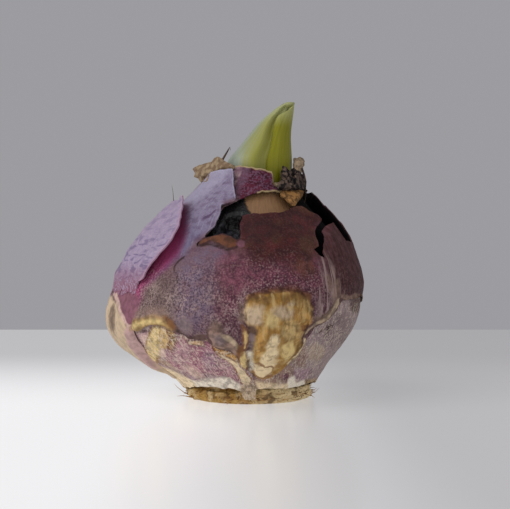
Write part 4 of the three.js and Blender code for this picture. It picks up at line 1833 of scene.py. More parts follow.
OUTER_REGIONS: Mapping[str, Outline] = {
    "bloom": ((-4, 45), (-16, 43.4), (-13, 40.8), (-15, 37.6), (-19, 36.8), (-24.5, 33.4),
              (-26, 32.6), (-29.5, 31.4), (-34, 29.4), (-40, 27), (-50, 25.5), (-62, 28),
              (-70, 36), (-75, 54), (-12, 54)),
    "frost": ((-36, 53), (-38, 46), (-48, 43), (-60, 40), (-80, 42), (-80, 53)),
    "crimson": ((-52, 44), (-46, 43.2), (-38, 41.2), (-31, 39), (-28, 36.3), (-27.6, 34.3),
                (-28.6, 31.8), (-31.5, 29.5), (-35.5, 27.8), (-39.5, 26), (-43, 24.5), (-43, 22.8),
                (-45, 20), (-48.5, 20.2), (-54, 22), (-66, 30), (-66, 44)),
    "slash": ((-24, 39.9), (-23.6, 40.2), (-20.6, 40.6), (-19, 41.8), (-19.4, 41.3),
              (-20.6, 40.2)),
    "blue_bloom": ((-24, 33), (-14, 34.5), (-9, 32.5), (-13.5, 29), (-10, 24), (-11, 17),
                   (-23, 15), (-28, 20.5), (-28, 25), (-28, 30)),
    "wine": ((-2, 41.5), (20, 43), (47, 45), (66, 42), (62, 39), (50, 37), (43, 32.5), (34, 31),
             (20, 30), (4, 30.5), (-2, 34)),
    "maroon": ((-9, 32.5), (4, 32), (34, 33), (43, 34), (41, 27), (36, 24.5), (15, 24.8),
               (3, 24), (-5, 21), (-9, 25)),
    "olive": ((-47, 27), (-37, 28.5), (-27, 27), (-24, 21), (-27, 18.5), (-48, 18), (-50, 21)),
    "web": ((-44, 26), (-28, 27), (-10, 24), (2, 26), (6, 22), (2, 15), (-20, 14), (-30, 18),
            (-46, 19)),
    "tongue": ((3.5, 23.75), (7, 24.25), (13, 24.75), (19, 25), (25.5, 24.75), (30.5, 23.5),
               (33, 21.25), (33, 19), (31, 17.25), (30.5, 15.25), (33, 13.5), (32, 11),
               (29, 8.8), (24.5, 7), (19.5, 5.6), (13.5, 5.2), (8.5, 6), (6.5, 8.75),
               (6, 11), (6.5, 13.5), (6.5, 15.25), (6, 17.25), (4.5, 18.5), (3.5, 20.5)),
    "side": ((43.5, 30), (45.5, 34.4), (49, 36.4), (54, 38), (60, 39), (66, 38.6), (80, 37),
             (90, 43), (95, 48), (125, 48), (125, 21), (57, 22.4), (49, 22.4), (44, 26)),
    "streaks": ((38, 30), (44, 32), (52, 26), (56, 22), (45, 18), (37, 18), (35, 25)),
}

INNER_REGIONS: Mapping[str, Outline] = {
    "collar": ((-27, 54), (-22, 48), (-4, 44.2), (10, 45), (34, 46), (52, 46.4), (52, 54)),
    "collar_haze": ((-27, 54), (-22, 48), (-12, 46), (-12, 50), (-16, 54)),
    # gap: where the inner skin is painted near black as shade, behind the loose outer skin
    "gap": ((40, 30), (38, 36), (42, 40.5), (46, 43.6), (47, 49), (130, 49), (130, 30)),
    "seam": ((8, 45.8), (14, 46), (28, 46.4), (50, 46.4), (50, 47.8), (28, 47.8), (12, 47.6),
             (8, 47.2)),
    "pink_foot": ((-28, 13.5), (-20, 14.5), (-10, 14), (-2.5, 11), (0, 6.75), (-3.5, 4.6),
                  (-12.5, 5.4), (-22.5, 6.75), (-37.5, 5.75), (-44, 7.25), (-43.5, 9),
                  (-35.5, 11)),
    "left_margin": ((-130, 22), (-90, 22), (-80, 12), (-80, 8), (-58, 6.4), (-44, 4.4), (-44, 1),
                    (-130, 1)),
    "plum_side": ((32, 16), (45, 25), (110, 26), (110, 4), (38, 4), (30, 8)),
}

OUTER_PATCHES: tuple[Patch, ...] = (
    Patch("mauve_band", 1.4, 0.25, 0.9, 0.85, Shade.MAUVE, (
        (-73.5, 24.5), (-63.5, 25), (-52, 24.5), (-46, 23), (-44.5, 20.2), (-47, 18.2), (-49.5, 16.8),
        (-53, 17.2), (-58, 19.5), (-64.5, 21.8), (-72, 23.4),
    )),
    Patch("left_cream", 1, 0.25, 1, 0.9, Shade.SAND, (
        (-125, 24), (-86, 23.6), (-75, 22.8), (-65.5, 21.5), (-58.5, 19.2), (-53, 17.2), (-47, 16),
        (-47, 9), (-56, 1), (-125, 1),
    )),
    Patch("band_line", 0.5, 0.15, 0.8, 0.85, Shade.BLUSH, (
        (-76, 24.6), (-70, 23.8), (-64, 22.4), (-57.5, 20.1), (-52.5, 17.9), (-49, 16.9), (-49.5, 16.2),
        (-53, 17), (-58.5, 19.2), (-65, 21.5), (-71, 22.9), (-76, 23.6),
    )),
    Patch("band_low", 1.2, 0.4, 0.75, 0.85, Shade.ROSE, (
        (-52, 17), (-55, 16.4), (-59, 13.5), (-65, 10), (-70, 7.5), (-62, 7), (-57, 9), (-50, 12.5),
        (-48, 15.5),
    )),
    Patch("left_spots", 1.2, 0.5, 0.8, 0.7, Shade.TAUPE, (
        (-74, 20.5), (-70, 21.4), (-66, 20.4), (-66, 18), (-71, 14.5), (-76, 15.5),
    )),
    Patch("arch", 1.2, 0.2, 0.95, 0.72, Shade.TAN, (
        (-50, 17.5), (-47, 18.8), (-43, 19), (-38.5, 19.5), (-34.5, 19.8), (-31, 19.5), (-28.5, 19),
        (-26.5, 18), (-25.5, 16.5), (-28, 16.2), (-30, 17.2), (-32.5, 17.5), (-37, 17.5), (-40, 17),
        (-43, 16.2), (-46.5, 16), (-51, 16.2),
    )),
    # Painted highlight along the middle of the arch.
    Patch("arch_painted_highlight", 0.8, 0.2, 0.85, 0.8, Shade.MUSTARD, (
        (-50.5, 17), (-46, 18.2), (-41, 18.5), (-36, 18.9), (-31, 18.6), (-30, 17.9), (-35, 18),
        (-40, 17.6), (-44, 17), (-50.5, 16.4),
    )),
    Patch("arch_haze", 2.4, 0.4, 0.6, 0.85, Shade.FAWN, (
        (-47.5, 20.2), (-37.5, 21.2), (-30, 21), (-26, 19.2), (-29, 19.2), (-37, 19.8), (-46.5, 19),
    )),
    Patch("arch_dark", 0.9, 0.2, 0.9, 0.7, Shade.RUST, (
        (-30.5, 19.5), (-28, 19.5), (-25.5, 18.5), (-23, 16.8), (-24.5, 16.2), (-27, 17), (-28.5, 18.5),
    )),
    Patch("pillow", 2.2, 0.4, 0.8, 0.8, Shade.DOVE, (
        (-21, 20), (-18, 18.8), (-17, 16.5), (-19.5, 15.2), (-22, 15.8), (-23.5, 17.2), (-23, 19),
    )),
    # Painted shade: a dark line along the skin's torn lower edge, where the gap below lies in shade.
    Patch("groove_shade", 0.7, 0.15, 1, 0.7, Shade.SLATE, (
        (-25, 17), (-22.5, 16.5), (-20.5, 15.5), (-18, 15.2), (-14.5, 15.8), (-10.5, 15.5),
        (-11.5, 14.5), (-20, 14.2), (-22.5, 15.2), (-25, 16),
    )),
    Patch("patch", 0.9, 0.35, 0.9, 0.7, Shade.FAWN, (
        (-10, 16.8), (-7, 17), (-4, 16.2), (-1, 15.2), (2, 13.8), (3, 13), (2.5, 11.5), (1, 10.8),
        (-1, 12), (-3.5, 12.5), (-6.5, 12.8), (-9, 13.2), (-10, 14.8),
    ), Shade.SHADOW),
    Patch("patch_grey", 1.4, 0.5, 0.8, 0.75, Shade.DOVE, (
        (-8, 15.8), (-5, 16), (-3, 15), (-4, 13.8), (-6.5, 13.8), (-8, 14.5),
    )),
    Patch("patch_mauve", 0.9, 0.2, 0.8, 0.8, Shade.FAWN, (
        (-2, 13.8), (0, 14), (2, 13), (2.5, 11.8), (1, 11), (-1, 12.2), (-2.5, 13),
    )),
    Patch("patch_line", 0.5, 0.1, 0.9, 0.8, Shade.SAND, (
        (-5, 16.2), (-2, 15.8), (1, 14.8), (3, 13.5), (2, 13), (-0.5, 14.2), (-3.5, 15.2),
    )),
    Patch("rust", 1.6, 0.4, 0.7, 0.7, Shade.TAUPE, (
        (-10.5, 17.5), (-8, 18.5), (-4, 17.5), (-5, 16.5), (-8.5, 16.8), (-10.5, 16.8),
    )),
    Patch("rim_brown", 0.8, 0.2, 0.8, 0.7, Shade.TAUPE, (
        (1, 22.2), (3, 22), (3.5, 20.2), (4, 18.5), (5, 17.2), (3, 17.5), (1.5, 19.2),
    )),
    Patch("rim_pale", 0.7, 0.15, 1, 0.95, Shade.STRAW, (
        (3, 18), (5, 17.2), (6.5, 16), (6.5, 14.5), (5.5, 13), (4.5, 13), (4.5, 15), (4, 16.2),
    ), Shade.BROWN),
    Patch("rim_ochre", 0.8, 0.2, 0.95, 0.82, Shade.MUSTARD, (
        (3, 12.5), (5, 12.5), (6, 11), (6, 9.2), (4, 8), (2, 8.8), (2, 10.5),
    ), Shade.BROWN),
    Patch("rim_dark", 0.6, 0.15, 0.85, 0.8, Shade.RUST, (
        (2, 14.2), (4, 13.5), (4.5, 12.2), (2.5, 11), (2, 9), (0.5, 10.5), (1.5, 12.2),
    )),
    Patch("tongue_brown", 1.3, 0.63, 0.9, 0.7, Shade.UMBER, (
        (3.5, 23.8), (9.5, 24), (16, 24.2), (17, 23), (13.5, 22), (8.5, 22.2), (5, 22.5),
    )),
    Patch("tongue_olive", 1.3, 0.63, 0.9, 0.75, Shade.UMBER, (
        (16.5, 24), (22.5, 24.5), (28, 24.5), (29, 23), (25, 22), (21, 21.8), (17.5, 22.5),
    )),
    Patch("tongue_rust", 1.2, 0.63, 0.9, 0.7, Shade.TAN, (
        (28, 23.8), (31, 23.2), (33.5, 21.5), (32.5, 20.2), (28.5, 20.5), (26.5, 22.5),
    )),
    Patch("tongue_tan", 1.4, 0.54, 0.9, 0.75, Shade.OCHRE, (
        (24, 20.8), (32, 20.2), (33.5, 18.8), (32.5, 17.2), (27, 17.5), (23.5, 19),
    )),
    Patch("tongue_spot", 0.8, 0.54, 0.9, 0.7, Shade.RUST, (
        (28.5, 17.5), (32.5, 17.5), (32, 16), (31.5, 15), (29, 15.2),
    )),
    # Painted shadow: a dark brown band along the tongue's top edge.
    Patch("tongue_top_shadow", 1.1, 0.5, 0.8, 0.75, Shade.BROWN, (
        (3, 23.4), (7, 24.8), (13, 25.5), (19, 25.7), (26, 25.5), (31.5, 24), (34, 21.4), (32.6, 21.2),
        (29.5, 23.1), (25, 23.9), (19, 24.1), (13, 23.9), (7, 23.5), (4, 22.4),
    )),
    Patch("tongue_grey", 1.4, 0.63, 0.95, 0.85, Shade.SAND, (
        (4, 21.2), (6, 22.2), (9.5, 21.5), (11.5, 20), (11, 18), (7, 17.8), (4, 18.8),
    )),
    Patch("tongue_white", 1.3, 0.63, 0.9, 0.85, Shade.SAND, (
        (14, 21), (18, 21.8), (22, 21.8), (22.5, 20.2), (22, 18.8), (18, 19), (14.5, 19.8),
    )),
    Patch("tongue_slit", 0.4, 0.05, 0.7, 0.8, Shade.UMBER, (
        (20, 21.8), (21, 21.2), (21.5, 19.8), (21, 19.8), (20, 20.8),
    )),
    Patch("tongue_yellow", 1.2, 0.54, 0.9, 0.85, Shade.MUSTARD, (
        (11, 20.5), (14, 20), (17.5, 19.2), (18.5, 17.5), (15.5, 17), (12, 18.2),
    )),
    Patch("tongue_pinky", 1.3, 0.63, 0.9, 0.75, Shade.STRAW, (
        (19.5, 19), (23, 18.8), (27, 18), (28.5, 15.8), (27, 14.5), (22, 14.5), (19, 16.8),
    )),
    Patch("tongue_crack", 0.4, 0.1, 0.75, 0.8, Shade.UMBER, (
        (20, 18.8), (21.5, 18), (21, 16.8), (20, 15.5), (19, 16.8), (19.5, 17.8),
    )),
    Patch("tongue_orange", 1.1, 0.54, 0.95, 0.75, Shade.OCHRE, (
        (9, 17.8), (13, 17.5), (14, 16.2), (13.5, 14.8), (13, 13), (13.5, 11.5), (10, 11), (9.5, 13.5),
        (9.5, 15.8),
    )),
    Patch("tongue_stripe", 1.2, 0.54, 0.95, 0.88, Shade.CREAM, (
        (14.8, 16), (18.5, 16.2), (20, 13.8), (20.5, 11.2), (20, 8.8), (13.5, 7.6), (12, 9.8),
        (13.8, 12.6),
    )),
    Patch("tongue_gold", 1.1, 0.54, 1, 0.88, Shade.MUSTARD, (
        (21, 14), (25, 14.5), (28.5, 13.2), (29, 11.2), (26, 10.2), (22, 12),
    )),
    Patch("tongue_shade", 0.8, 0.36, 0.9, 0.75, Shade.UMBER, (
        (28.5, 14.5), (31.5, 14.8), (33, 12.5), (31.5, 11), (29, 10), (29, 12.2),
    )),
    Patch("tongue_bottom", 1.1, 0.54, 1, 0.95, Shade.CREAM, (
        (9.5, 10.2), (14.5, 9.5), (19.5, 8.8), (19, 7), (14, 6.5), (9.5, 6.8), (7.5, 8.2),
    ), Shade.RUST),
    Patch("tongue_rim", 0.4, 0.05, 0.9, 0.85, Shade.CREAM, (
        (31, 15.5), (33, 14.8), (34.5, 13.2), (34, 11.5), (31.5, 9.8), (29, 8.8), (27, 9.2),
        (30.5, 10.5), (32, 12.2), (32.5, 13.8),
    )),
    Patch("hollow_top", 0.8, 0.2, 0.9, 0.7, Shade.SLATE, (
        (4.5, 18), (8, 17.8), (9.5, 16.8), (9.5, 15.8), (6.5, 16),
    )),
    Patch("hollow_violet", 0.7, 0.2, 0.95, 0.8, Shade.DOVE, (
        (6.5, 16.2), (9, 16), (9, 13.8), (8.5, 12.2), (6, 12.2), (6.5, 14.5),
    )),
    Patch("hollow_white", 0.8, 0.3, 0.9, 0.75, Shade.CHALK, (
        (6, 12.2), (8.5, 12.2), (9, 10.2), (9.5, 8.2), (6.5, 7.8), (6.5, 10.2),
    )),
    Patch("right_rim", 0.7, 0.2, 0.85, 0.7, Shade.SAND, (
        (50.5, 23.5), (50.5, 22), (47.5, 20.2), (44.5, 18.5), (40.5, 17.5), (36.5, 17.2), (33.5, 16.5),
        (32, 15.2), (31, 15.8), (32.5, 17), (35.5, 18), (39, 18.8), (42, 19.8), (45, 21.5), (47.5, 23),
    ), Shade.SHADOW),
    Patch("right_dark", 1, 0.3, 0.8, 0.7, Shade.TAUPE, (
        (33.5, 19.5), (39, 19.2), (43, 20.5), (46, 22.5), (45.5, 20.5), (42.5, 18.8), (36.5, 18),
    )),
    Patch("right_pale", 0.8, 0.3, 0.6, 0.75, Shade.FAWN, (
        (42, 28.2), (44.5, 28.2), (44.5, 24.8), (44.5, 21.8), (46.5, 21.8), (50, 23.5), (50.5, 25.5),
        (49.5, 27.2), (46.5, 27), (45.5, 24.2), (43.5, 24.8), (42, 24.5),
    )),
    Patch("right_edge", 0.6, 0.2, 0.9, 0.75, Shade.FAWN, (
        (50, 24), (54, 24), (58.5, 23.5), (63.5, 24.2), (70.5, 23.8), (62, 23), (56.5, 22.5),
        (51.5, 23),
    )),
    Patch("front_olive", 3, 0.6, 0.6, 0.8, Shade.WINE, (
        (4, 39.2), (13, 39.8), (23.5, 38.8), (19.5, 36), (10.5, 34.2), (4.5, 35),
    )),
    Patch("front_red", 2.6, 0.5, 0.6, 0.7, Shade.BROWN, (
        (25, 30.8), (36, 31), (37, 28.5), (28.5, 27.5), (23, 28.8),
    )),
    Patch("orange", 0.5, 0.1, 0.95, 0.7, Shade.BROWN, (
        (-21.5, 34), (-19, 35.2), (-14.5, 35.8), (-9.5, 36.2), (-4, 35.5), (-1, 34.5), (-2, 33.5),
        (-6, 33.2), (-10, 34.2), (-15, 34.8), (-19, 34),
    ), Shade.WINE),
    # Painted shade on the lower side of the raised orange lip.
    Patch("orange_dark", 0.4, 0.1, 1, 0.7, Shade.WINE, (
        (-20, 33.8), (-18, 34.5), (-15, 34.5), (-10.5, 34), (-7, 33.2), (-3, 33.2), (-6, 32.8),
        (-10.5, 33.5), (-15, 34), (-17.5, 33.8),
    )),
    Patch("lilac", 0.6, 0.15, 0.85, 0.85, Shade.MAUVE, (
        (-2, 34.2), (0, 35), (2, 34.8), (2, 33.8), (0, 33.5), (-1.5, 33.8),
    )),
    Patch("crack", 0.25, 0, 0.9, 0.9, Shade.WINE, (
        (-26.5, 32), (-29, 31), (-30.5, 29.8), (-30, 28.8), (-28, 27.8), (-27, 26.2), (-26, 26.2),
        (-27.5, 28), (-29, 28.8), (-29.5, 29.8), (-28, 30.8), (-26, 31.5),
    )),
)

INNER_PATCHES: tuple[Patch, ...] = (
    Patch("inner_mauve", 1.2, 0.3, 0.9, 0.85, Shade.ROSE, (
        (-56, 14.8), (-49, 15.2), (-40, 16), (-41, 14.2), (-47, 12.5), (-56, 9.5), (-74.5, 7),
        (-77, 7.8), (-65, 10), (-59.5, 12.5),
    ), Shade.SHADOW),
    Patch("inner_lilac", 1, 0.3, 0.6, 0.9, Shade.BLUSH, (
        (-47, 15), (-41.5, 15.2), (-42.5, 14), (-49, 12.2), (-50.5, 13),
    )),
    Patch("inner_line", 0.5, 0.1, 0.9, 0.8, Shade.MAUVE, (
        (-50.5, 13.8), (-51, 12.2), (-54, 10.5), (-61, 8.8), (-63, 9), (-56.5, 11),
    )),
    Patch("scab", 0.8, 0.2, 0.95, 0.72, Shade.MUSTARD, (
        (-41.5, 14.8), (-37.5, 16.8), (-34, 17.2), (-33, 16.2), (-35, 14.2), (-38, 12), (-43.5, 10.2),
        (-58, 8), (-67, 7.8), (-57, 9.8), (-47, 12.5),
    ), Shade.UMBER),
    Patch("scab_cream", 0.8, 0.25, 0.95, 0.8, Shade.STRAW, (
        (-33.5, 17), (-30.5, 16.5), (-29, 15), (-31, 13), (-35, 11.8), (-38.5, 11.8), (-35, 14.2),
    )),
    Patch("scab_roll", 0.6, 0.15, 0.95, 0.6, Shade.TAN, (
        (-30.5, 17.5), (-28, 16.8), (-26, 15.5), (-26.5, 14), (-30, 12), (-33.5, 11), (-33, 12.2),
        (-29.5, 13.8), (-29, 15),
    ), Shade.BROWN),
    Patch("scab_pink", 0.9, 0.3, 0.9, 0.8, Shade.BLUSH, (
        (-39.5, 11.5), (-36.5, 11.5), (-40.5, 9.8), (-45.5, 9.5),
    )),
    Patch("rose", 2.2, 0.5, 0.8, 0.72, Shade.ROSE, (
        (-29.5, 12.2), (-23.5, 13.2), (-20.5, 12), (-26, 9), (-35.5, 7.5), (-38.5, 8.8), (-35, 10.5),
    )),
    Patch("magenta", 2, 0.4, 0.9, 0.75, Shade.ROSE, (
        (-9, 11.2), (-5, 10.8), (-2.5, 9.8), (-1, 8), (-2.5, 6), (-8.5, 6.2), (-13, 7.8), (-12, 10),
    )),
    Patch("violet", 1.8, 0.5, 0.8, 0.7, Shade.LILAC, (
        (-15, 11.5), (-10, 11.8), (-10.5, 9.5), (-13.5, 7.5), (-20.5, 7), (-19, 9),
    )),
    Patch("white_top", 1.4, 0.4, 0.85, 0.8, Shade.BLUSH, (
        (-30.5, 8.2), (-27.5, 8), (-28, 6.8), (-26, 6), (-28.5, 5), (-35.5, 4.8), (-37.5, 5.8),
        (-35, 7),
    )),
    Patch("white_foot", 1.2, 0.5, 0.95, 0.72, Shade.CHALK, (
        (-48.5, 4), (-32.5, 4.8), (-18.5, 5.2), (-10.5, 5.8), (-7, 5), (-4.5, 4), (-4, 3), (-6, 2.5),
        (-23.5, 2.2), (-51.5, 1.8), (-60.5, 2.2),
    )),
    Patch("cream_band", 0.8, 0.2, 0.9, 0.85, Shade.CREAM, (
        (-9, 12), (-5.5, 11.2), (-2, 10.8), (0.5, 9.8), (1.5, 8), (3.5, 6.5), (6, 5.2), (1.5, 3.5),
        (-2, 4.2), (-2, 6.2), (-2.5, 8.2), (-4.5, 9.5), (-8, 10.8),
    ), Shade.RUST),
    Patch("ochre_band", 0.6, 0.15, 0.95, 0.65, Shade.OCHRE, (
        (-9.5, 13), (-6.5, 12.5), (-3.5, 12), (-0.5, 11.5), (1.5, 10.5), (0.5, 9.2), (-3, 10.2),
        (-6.5, 11), (-9, 11.8),
    ), Shade.BROWN),
    Patch("flakes", 0.5, 0.2, 0.7, 0.7, Shade.STRAW, (
        (-21, 14), (-17, 14), (-13, 13.8), (-13.5, 12.8), (-17, 13), (-20.5, 13.2),
    ), Shade.SHADOW),
    Patch("left_foot", 1.4, 0.4, 0.85, 0.8, Shade.CREAM, (
        (-59.5, 7.2), (-52.5, 6.2), (-45.5, 5.2), (-42.5, 4.2), (-49, 2.2), (-65, 1), (-81, 2),
        (-77.5, 4.2), (-78, 5.8),
    )),
    Patch("under", 0.9, 0.2, 0.9, 0.8, Shade.FAWN, (
        (19.5, 5), (24.5, 6.8), (29.5, 8), (35, 7.5), (36, 5.8), (33.5, 4.5), (26.5, 3.8), (20, 4.2),
    )),
    Patch("wine_spot", 0.7, 0.2, 0.9, 0.7, Shade.MAUVE, (
        (27, 6), (31.5, 6.2), (34, 5.2), (33, 4.5), (27.5, 4.8),
    )),
    Patch("lens", 0.8, 0.2, 0.85, 0.75, Shade.LILAC, (
        (35.5, 6.8), (42.5, 7.2), (54, 6.5), (55, 5), (47, 4.2), (39, 4.5),
    )),
    Patch("post", 0.8, 0.2, 1, 0.98, Shade.CHALK, (
        (33, 5.2), (37, 5.5), (41.5, 3.8), (49, 4.2), (57, 2.5), (48, 2), (36, 2), (32.5, 3.8),
    )),
    Patch("foot_cream", 1.2, 0.4, 0.9, 0.8, Shade.CREAM, (
        (8, 4.8), (20, 4), (33.5, 3.8), (35, 2.2), (20, 2.2), (8.5, 2.5),
    )),
    Patch("foot_brown", 1, 0.4, 0.9, 0.7, Shade.TAN, (
        (51.5, 4.2), (63, 4.5), (84, 3.5), (84, 2), (73.5, 1.2), (55, 2.5),
    )),
    Patch("fibre", 0.9, 0.4, 0.85, 0.7, Shade.SAND, (
        (-1, 4), (7.5, 3.8), (9, 2.2), (8.5, 1), (-1, 1), (-6.5, 1.2), (-6.5, 2.8),
    )),
    Patch("side_cream", 1.6, 0.4, 0.6, 0.85, Shade.SAND, (
        (39, 11.8), (43, 13), (51, 11.8), (57, 9.5), (55.5, 8), (44, 8.8),
    )),
    Patch("side_grey", 2.6, 0.5, 0.8, 0.85, Shade.DOVE, (
        (45, 18.8), (57, 20), (73, 15.8), (87.5, 11.8), (56.5, 11.8), (46, 13.2),
    )),
    Patch("side_violet", 1.6, 0.4, 1, 0.8, Shade.SLATE, (
        (61, 23), (75.5, 23.5), (84.5, 21.8), (74, 19.2), (61.5, 20.2),
    )),
    Patch("side_mauve", 1.2, 0.3, 0.85, 0.8, Shade.FAWN, (
        (32.5, 10.8), (35.5, 12.8), (39.5, 11.2), (44.5, 7.5), (38, 7.5), (32, 8.8),
    )),
    # Painted shadow where the outer skin's edge lies over this skin.
    Patch("side_dark", 0.5, 0.15, 0.85, 0.8, Shade.SHADOW, (
        (40.5, 15), (42.5, 16.2), (47, 17.2), (50, 17), (48.5, 15.5), (46.5, 14.5), (47, 16.5),
        (43, 15.2),
    )),
)


def with_patches(regions: Mapping[str, Outline], patches: Sequence[Patch]) -> dict[str, Outline]:
    """Adds the outlines of a skin's patches to those of its regions."""
    return {**regions, **{patch.name: patch.outline for patch in patches}}


def build_bulb() -> None:
    """Builds the bulb's skins, flesh and plate."""
    dull_back = SkinBackFinish("outer_skin_back", (46, 28, 32), (26, 16, 20)).build()
    flap_back = SkinBackFinish("flap_back", (150, 60, 96), (110, 36, 66)).build()
    OuterSkin(
        name="outer_skin", slot="outer_skin", nodes=("outer_tunic",),
        lower=(
            (-180, 20.5), (-172, 19.5), (-160, 13), (-150, 11), (-140, 14), (-130, 19),
            (-118, 10), (-110, 4.5), (-80, 4), (-63, 4.2), (-61, 5.8), (-60.5, 7.2), (-58, 9),
            (-52, 11.8), (-51, 14), (-50.5, 16), (-45.5, 16), (-42.5, 16.5), (-40, 17),
            (-37, 17.5), (-32.5, 17.5), (-30, 17.25), (-28, 16.5), (-26, 16.25), (-24, 16),
            (-21.5, 15.5), (-19, 14.75), (-16, 14.5), (-11.5, 14.5), (-9.5, 13.5), (-7.5, 12.75),
            (-5, 12.5), (-1.5, 12), (1, 10.75), (2, 9.25), (4, 8), (6, 7.25), (8, 6.5), (12.5, 6),
            (17.5, 6), (21.5, 6.75), (25.5, 7.75), (29, 9), (32, 9.75), (34, 11.5), (34.5, 13.25),
            (35.3, 15.25), (37, 17), (40.5, 17.5), (44.5, 18.5), (47.5, 20), (50.5, 22),
            (53, 23), (56.5, 22.5), (62, 23), (70.5, 23.5), (85, 23), (100, 21), (115, 22.5),
            (128, 18), (140, 12), (150, 10.5), (158, 14), (168, 20), (180, 20.5),
        ),
        upper=(
            (-180, 49), (-165, 48), (-150, 50), (-135, 49), (-120, 50), (-100, 50.5),
            (-80, 50.6), (-57, 50.8), (-43, 51), (-35.5, 51.5), (-27.5, 49.8), (-16.5, 47.2),
            (-7, 44.3), (-4, 44.2), (0, 41.2), (7.5, 40.8), (13.5, 40.8), (22.5, 41), (31, 41.5),
            (36.5, 42.2), (44, 42.7), (49.5, 42.6), (54, 41.3), (58, 40.6), (61, 39.8), (64, 38),
            (66, 34.8), (78, 34.4), (81, 36.2), (83.5, 35.3), (86, 38.4), (88.5, 38.8),
            (90.5, 42.4), (93, 42.2), (95, 44.8), (100, 45.5), (112, 46),
            (120, 46), (135, 45), (150, 47.5), (165, 49), (180, 49),
        ),
        layer=0.0, heights=(3.0, 53.0), columns=420, rows=120,
        holes=(BLACK_HOLE, SKIN_CRACK, BACK_WINDOW, BACK_TEAR),
        regions=with_patches(OUTER_REGIONS, OUTER_PATCHES), tear=(0.35, 0.18),
    ).build(OuterSkinFinish(OUTER_PATCHES).build(), dull_back)
    TornSkin(
        name="inner_skin", slot="inner_skin", nodes=("inner_tunic",),
        lower=(
            (-180, 1.5), (-140, 1.9), (-100, 1.2), (-85, 1.9), (-60, 2.4), (-45, 2.9),
            (-30, 3.1), (-12, 2.9), (-6, 2.6), (-4.5, 0.8), (5.5, 0.8), (7, 2.8), (20, 3.0),
            (35, 2.7), (45, 3.0), (65, 3.6), (90, 2.6), (120, 1.6), (150, 1.3), (180, 1.5),
        ),
        upper=(
            (-180, 52), (-150, 52.6), (-110, 51.6), (-70, 52.4), (-46, 52.2), (-32, 52.5),
            (-15, 52.2), (1, 51.8), (13, 51.5), (19, 51.2), (21.5, 50.8), (23.5, 49.6),
            (25, 48.6), (32, 48.4), (45, 48.2), (60, 48.4), (90, 50), (120, 51.3), (150, 52.2),
            (180, 52),
        ),
        layer=INNER_LAYER, heights=(0.3, 54.0), columns=360, rows=118,
        holes=(NECK_WINDOW, BACK_FLESH_WINDOW),
        regions=with_patches(INNER_REGIONS, INNER_PATCHES), seed=5.0, tear=(0.25, 0.16),
    ).build(InnerSkinFinish(INNER_PATCHES).build(), dull_back)
    Flap(
        name="flap_skin", slot="lilac_skin", nodes=("outer_flap",),
        layer=SKIN_FIT + SKIN, heights=(23.5, 44.5), columns=220, rows=72,
        thickness=0.35, tear=(1.2, 0.18), seed=8.0,
        right=((24.2, -50), (26.3, -47.5), (27.3, -44), (28.8, -41), (30.2, -38), (32, -34.5),
               (33.8, -32), (35.5, -31), (37, -31.5), (38.8, -33.5), (40.8, -37.5), (42.5, -44),
               (43.5, -50)),
        left=((24.2, -112), (27, -121), (30, -126), (34, -121), (39, -112), (43, -96)),
    ).build(FlapFinish().build(), flap_back)
    Flesh(
        name="flesh_body", slot="flesh", nodes=("fleshy_scales",), pocket=ROTTEN_POCKET,
        regions={"rot_and_shade": ROT_AND_SHADE, "painted_sheen": PAINTED_SHEEN},
    ).build(FleshFinish().build())
    CorkPlate(name="cork_plate", slot="cork", nodes=("basal_plate",)).build(CorkFinish().build())
    Fibres(
        name="root_hairs", slot="cork", nodes=(), strands=root_strands(),
    ).build(FibreFinish("root_hair", (196, 152, 92), (110, 74, 40)).build())


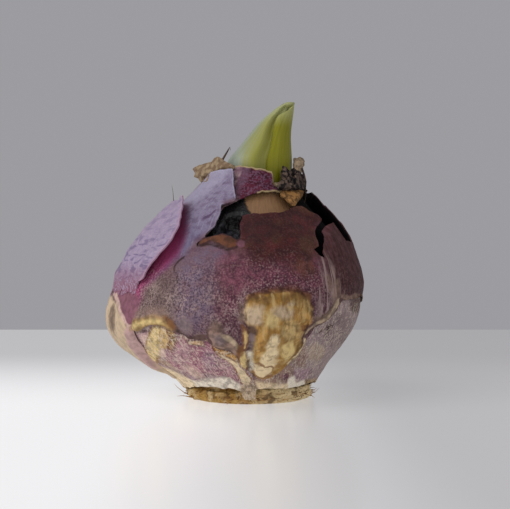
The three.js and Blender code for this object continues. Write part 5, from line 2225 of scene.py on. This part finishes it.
def build_neck() -> None:
    """Builds the leaves and the shreds round the neck."""
    Leaf(name="leaf_back_blade", slot="leaf", nodes=("leaf_back",), kind=LeafKind.BACK).build(
        LeafFinish("leaf_back").build())
    Leaf(name="leaf_front_blade", slot="leaf", nodes=("leaf_front",), kind=LeafKind.FRONT).build(
        LeafFinish("leaf_front", (124, 121, 10), (138, 135, 22), tip=(176, 178, 120)).build())
    Leaf(name="leaf_inner_roll", slot="leaf", nodes=("leaf_inner",), kind=LeafKind.INNER).build(
        LeafFinish("leaf_inner", (136, 142, 66), (150, 154, 90)).build())
    fan = Scrap(
        outline=((-3.5, 51.6), (-4.4, 51.0), (-6.3, 50.8), (-7.9, 50.5), (-9.1, 49.9), (-10.3, 49.6),
                 (-11.2, 49.2), (-11.9, 50.0), (-12.9, 50.6), (-12.7, 51.4), (-13.4, 52.5),
                 (-12.4, 53.0), (-10.7, 53.4), (-9.8, 53.5), (-8.8, 53.6), (-8.1, 54.4),
                 (-7.4, 54.7), (-6.7, 54.3), (-6.0, 53.7), (-4.9, 53.0), (-3.5, 52.2)),
        anchor=(-4, -7.2, 51.5), lean=(-0.92, 0.0), tone=0.0, crumple=0.6,
    )
    stub = Scrap(
        outline=((10.0, 50.6), (9.8, 53.0), (10.0, 54.4), (10.7, 54.5), (11.4, 54.8), (12.1, 54.5),
                 (12.5, 53.8), (12.4, 52.9), (11.9, 52.0), (11.6, 50.2), (10.7, 50.0)),
        anchor=(11, -3.0, 52), lean=(0.5, 0.0), tone=1.0,
    )
    fold = Scrap(
        outline=((6.8, 46.3), (8.0, 46.6), (9.1, 47.4), (10.5, 47.5), (11.4, 47.2), (12.1, 46.7),
                 (11.9, 45.7), (11.1, 44.6), (10.4, 43.9), (10.1, 43.1), (9.4, 42.9), (8.7, 43.4),
                 (7.9, 44.3), (6.8, 45.1)),
        anchor=(8.5, -11.7, 44), lean=(0.8, 1.1), tone=2.0,
    )
    char = Scrap(
        outline=((7.0, 47.4), (6.9, 50.6), (7.4, 52.2), (8.2, 51.9), (8.9, 51.2), (9.5, 51.6),
                 (9.9, 51.9), (10.6, 51.3), (11.3, 51.2), (11.9, 50.4), (12.0, 49.2), (11.6, 47.4)),
        anchor=(9, -6.6, 49), lean=(0.8, 0.0), tone=0.0, crumple=0.6,
    )
    roll = Scrap(
        outline=((5.5, 48.2), (6.4, 48.4), (7.5, 48.2), (8.9, 48.0), (9.1, 47.1), (7.7, 47.0),
                 (6.4, 47.2), (5.5, 47.4)),
        anchor=(6, -9.7, 48), lean=(0.5, 0.6), tone=1.0, crumple=0.2,
    )
    NeckShreds(
        name="shreds_tan", slot="tan_shreds", nodes=("neck_shreds_left",), start=-150, end=-62,
        foot=48.4, reach=2.6, flare=4.0, offset=0.3, layers=3, seed=3, scraps=(fan,),
    ).build(ShredFinish("tan_shreds", (164, 143, 114), (146, 123, 96), (124, 101, 78),
                        (170, 152, 118), (150, 110, 70)).build())
    NeckShreds(
        name="shreds_dark", slot="dark_shreds", nodes=("neck_shreds_right",), start=30, end=130,
        foot=46.6, reach=4.4, flare=1.0, offset=-0.2, layers=4, seed=13,
        scraps=(stub, fold, roll, char),
    ).build(ShredFinish("dark_shreds", (118, 98, 85), (60, 46, 42), (20, 14, 14),
                        (172, 150, 122), (168, 122, 70)).build())
    Fibres(
        name="neck_strands", slot="dark_shreds", nodes=(), width=0.27, strands=[
            [(11.7, -4, 52.0), (12.2, -4, 50.5), (12.6, -4, 48.9), (12.5, -4, 47.1), (12.6, -4, 45.5),
             (12.2, -4, 43.9)],
            [(-6.3, -4.5, 53.6), (-5.6, -4.5, 54.8), (-4.9, -4.5, 56.0), (-4.5, -4.5, 56.7),
             (-4.4, -4.5, 56.0)],
        ],
    ).build(FibreFinish("dark_strand", (96, 70, 52), (44, 30, 26)).build())
    Fibres(
        name="stray_hair", slot="dark_shreds", nodes=(), width=0.1, strands=[
            [(-16.9, -6.8, 43.0), (-17.0, -6.6, 44.8), (-17.1, -6.5, 46.3), (-17.4, -6.4, 48.0)],
        ],
    ).build(FibreFinish("stray_hair", (90, 66, 60), (60, 44, 44)).build())


def main() -> None:
    """Builds the setting and every piece."""
    logging.basicConfig(level=logging.INFO, format="%(message)s")
    Studio().build()
    build_bulb()
    build_neck()


if __name__ == "__main__":
    main()
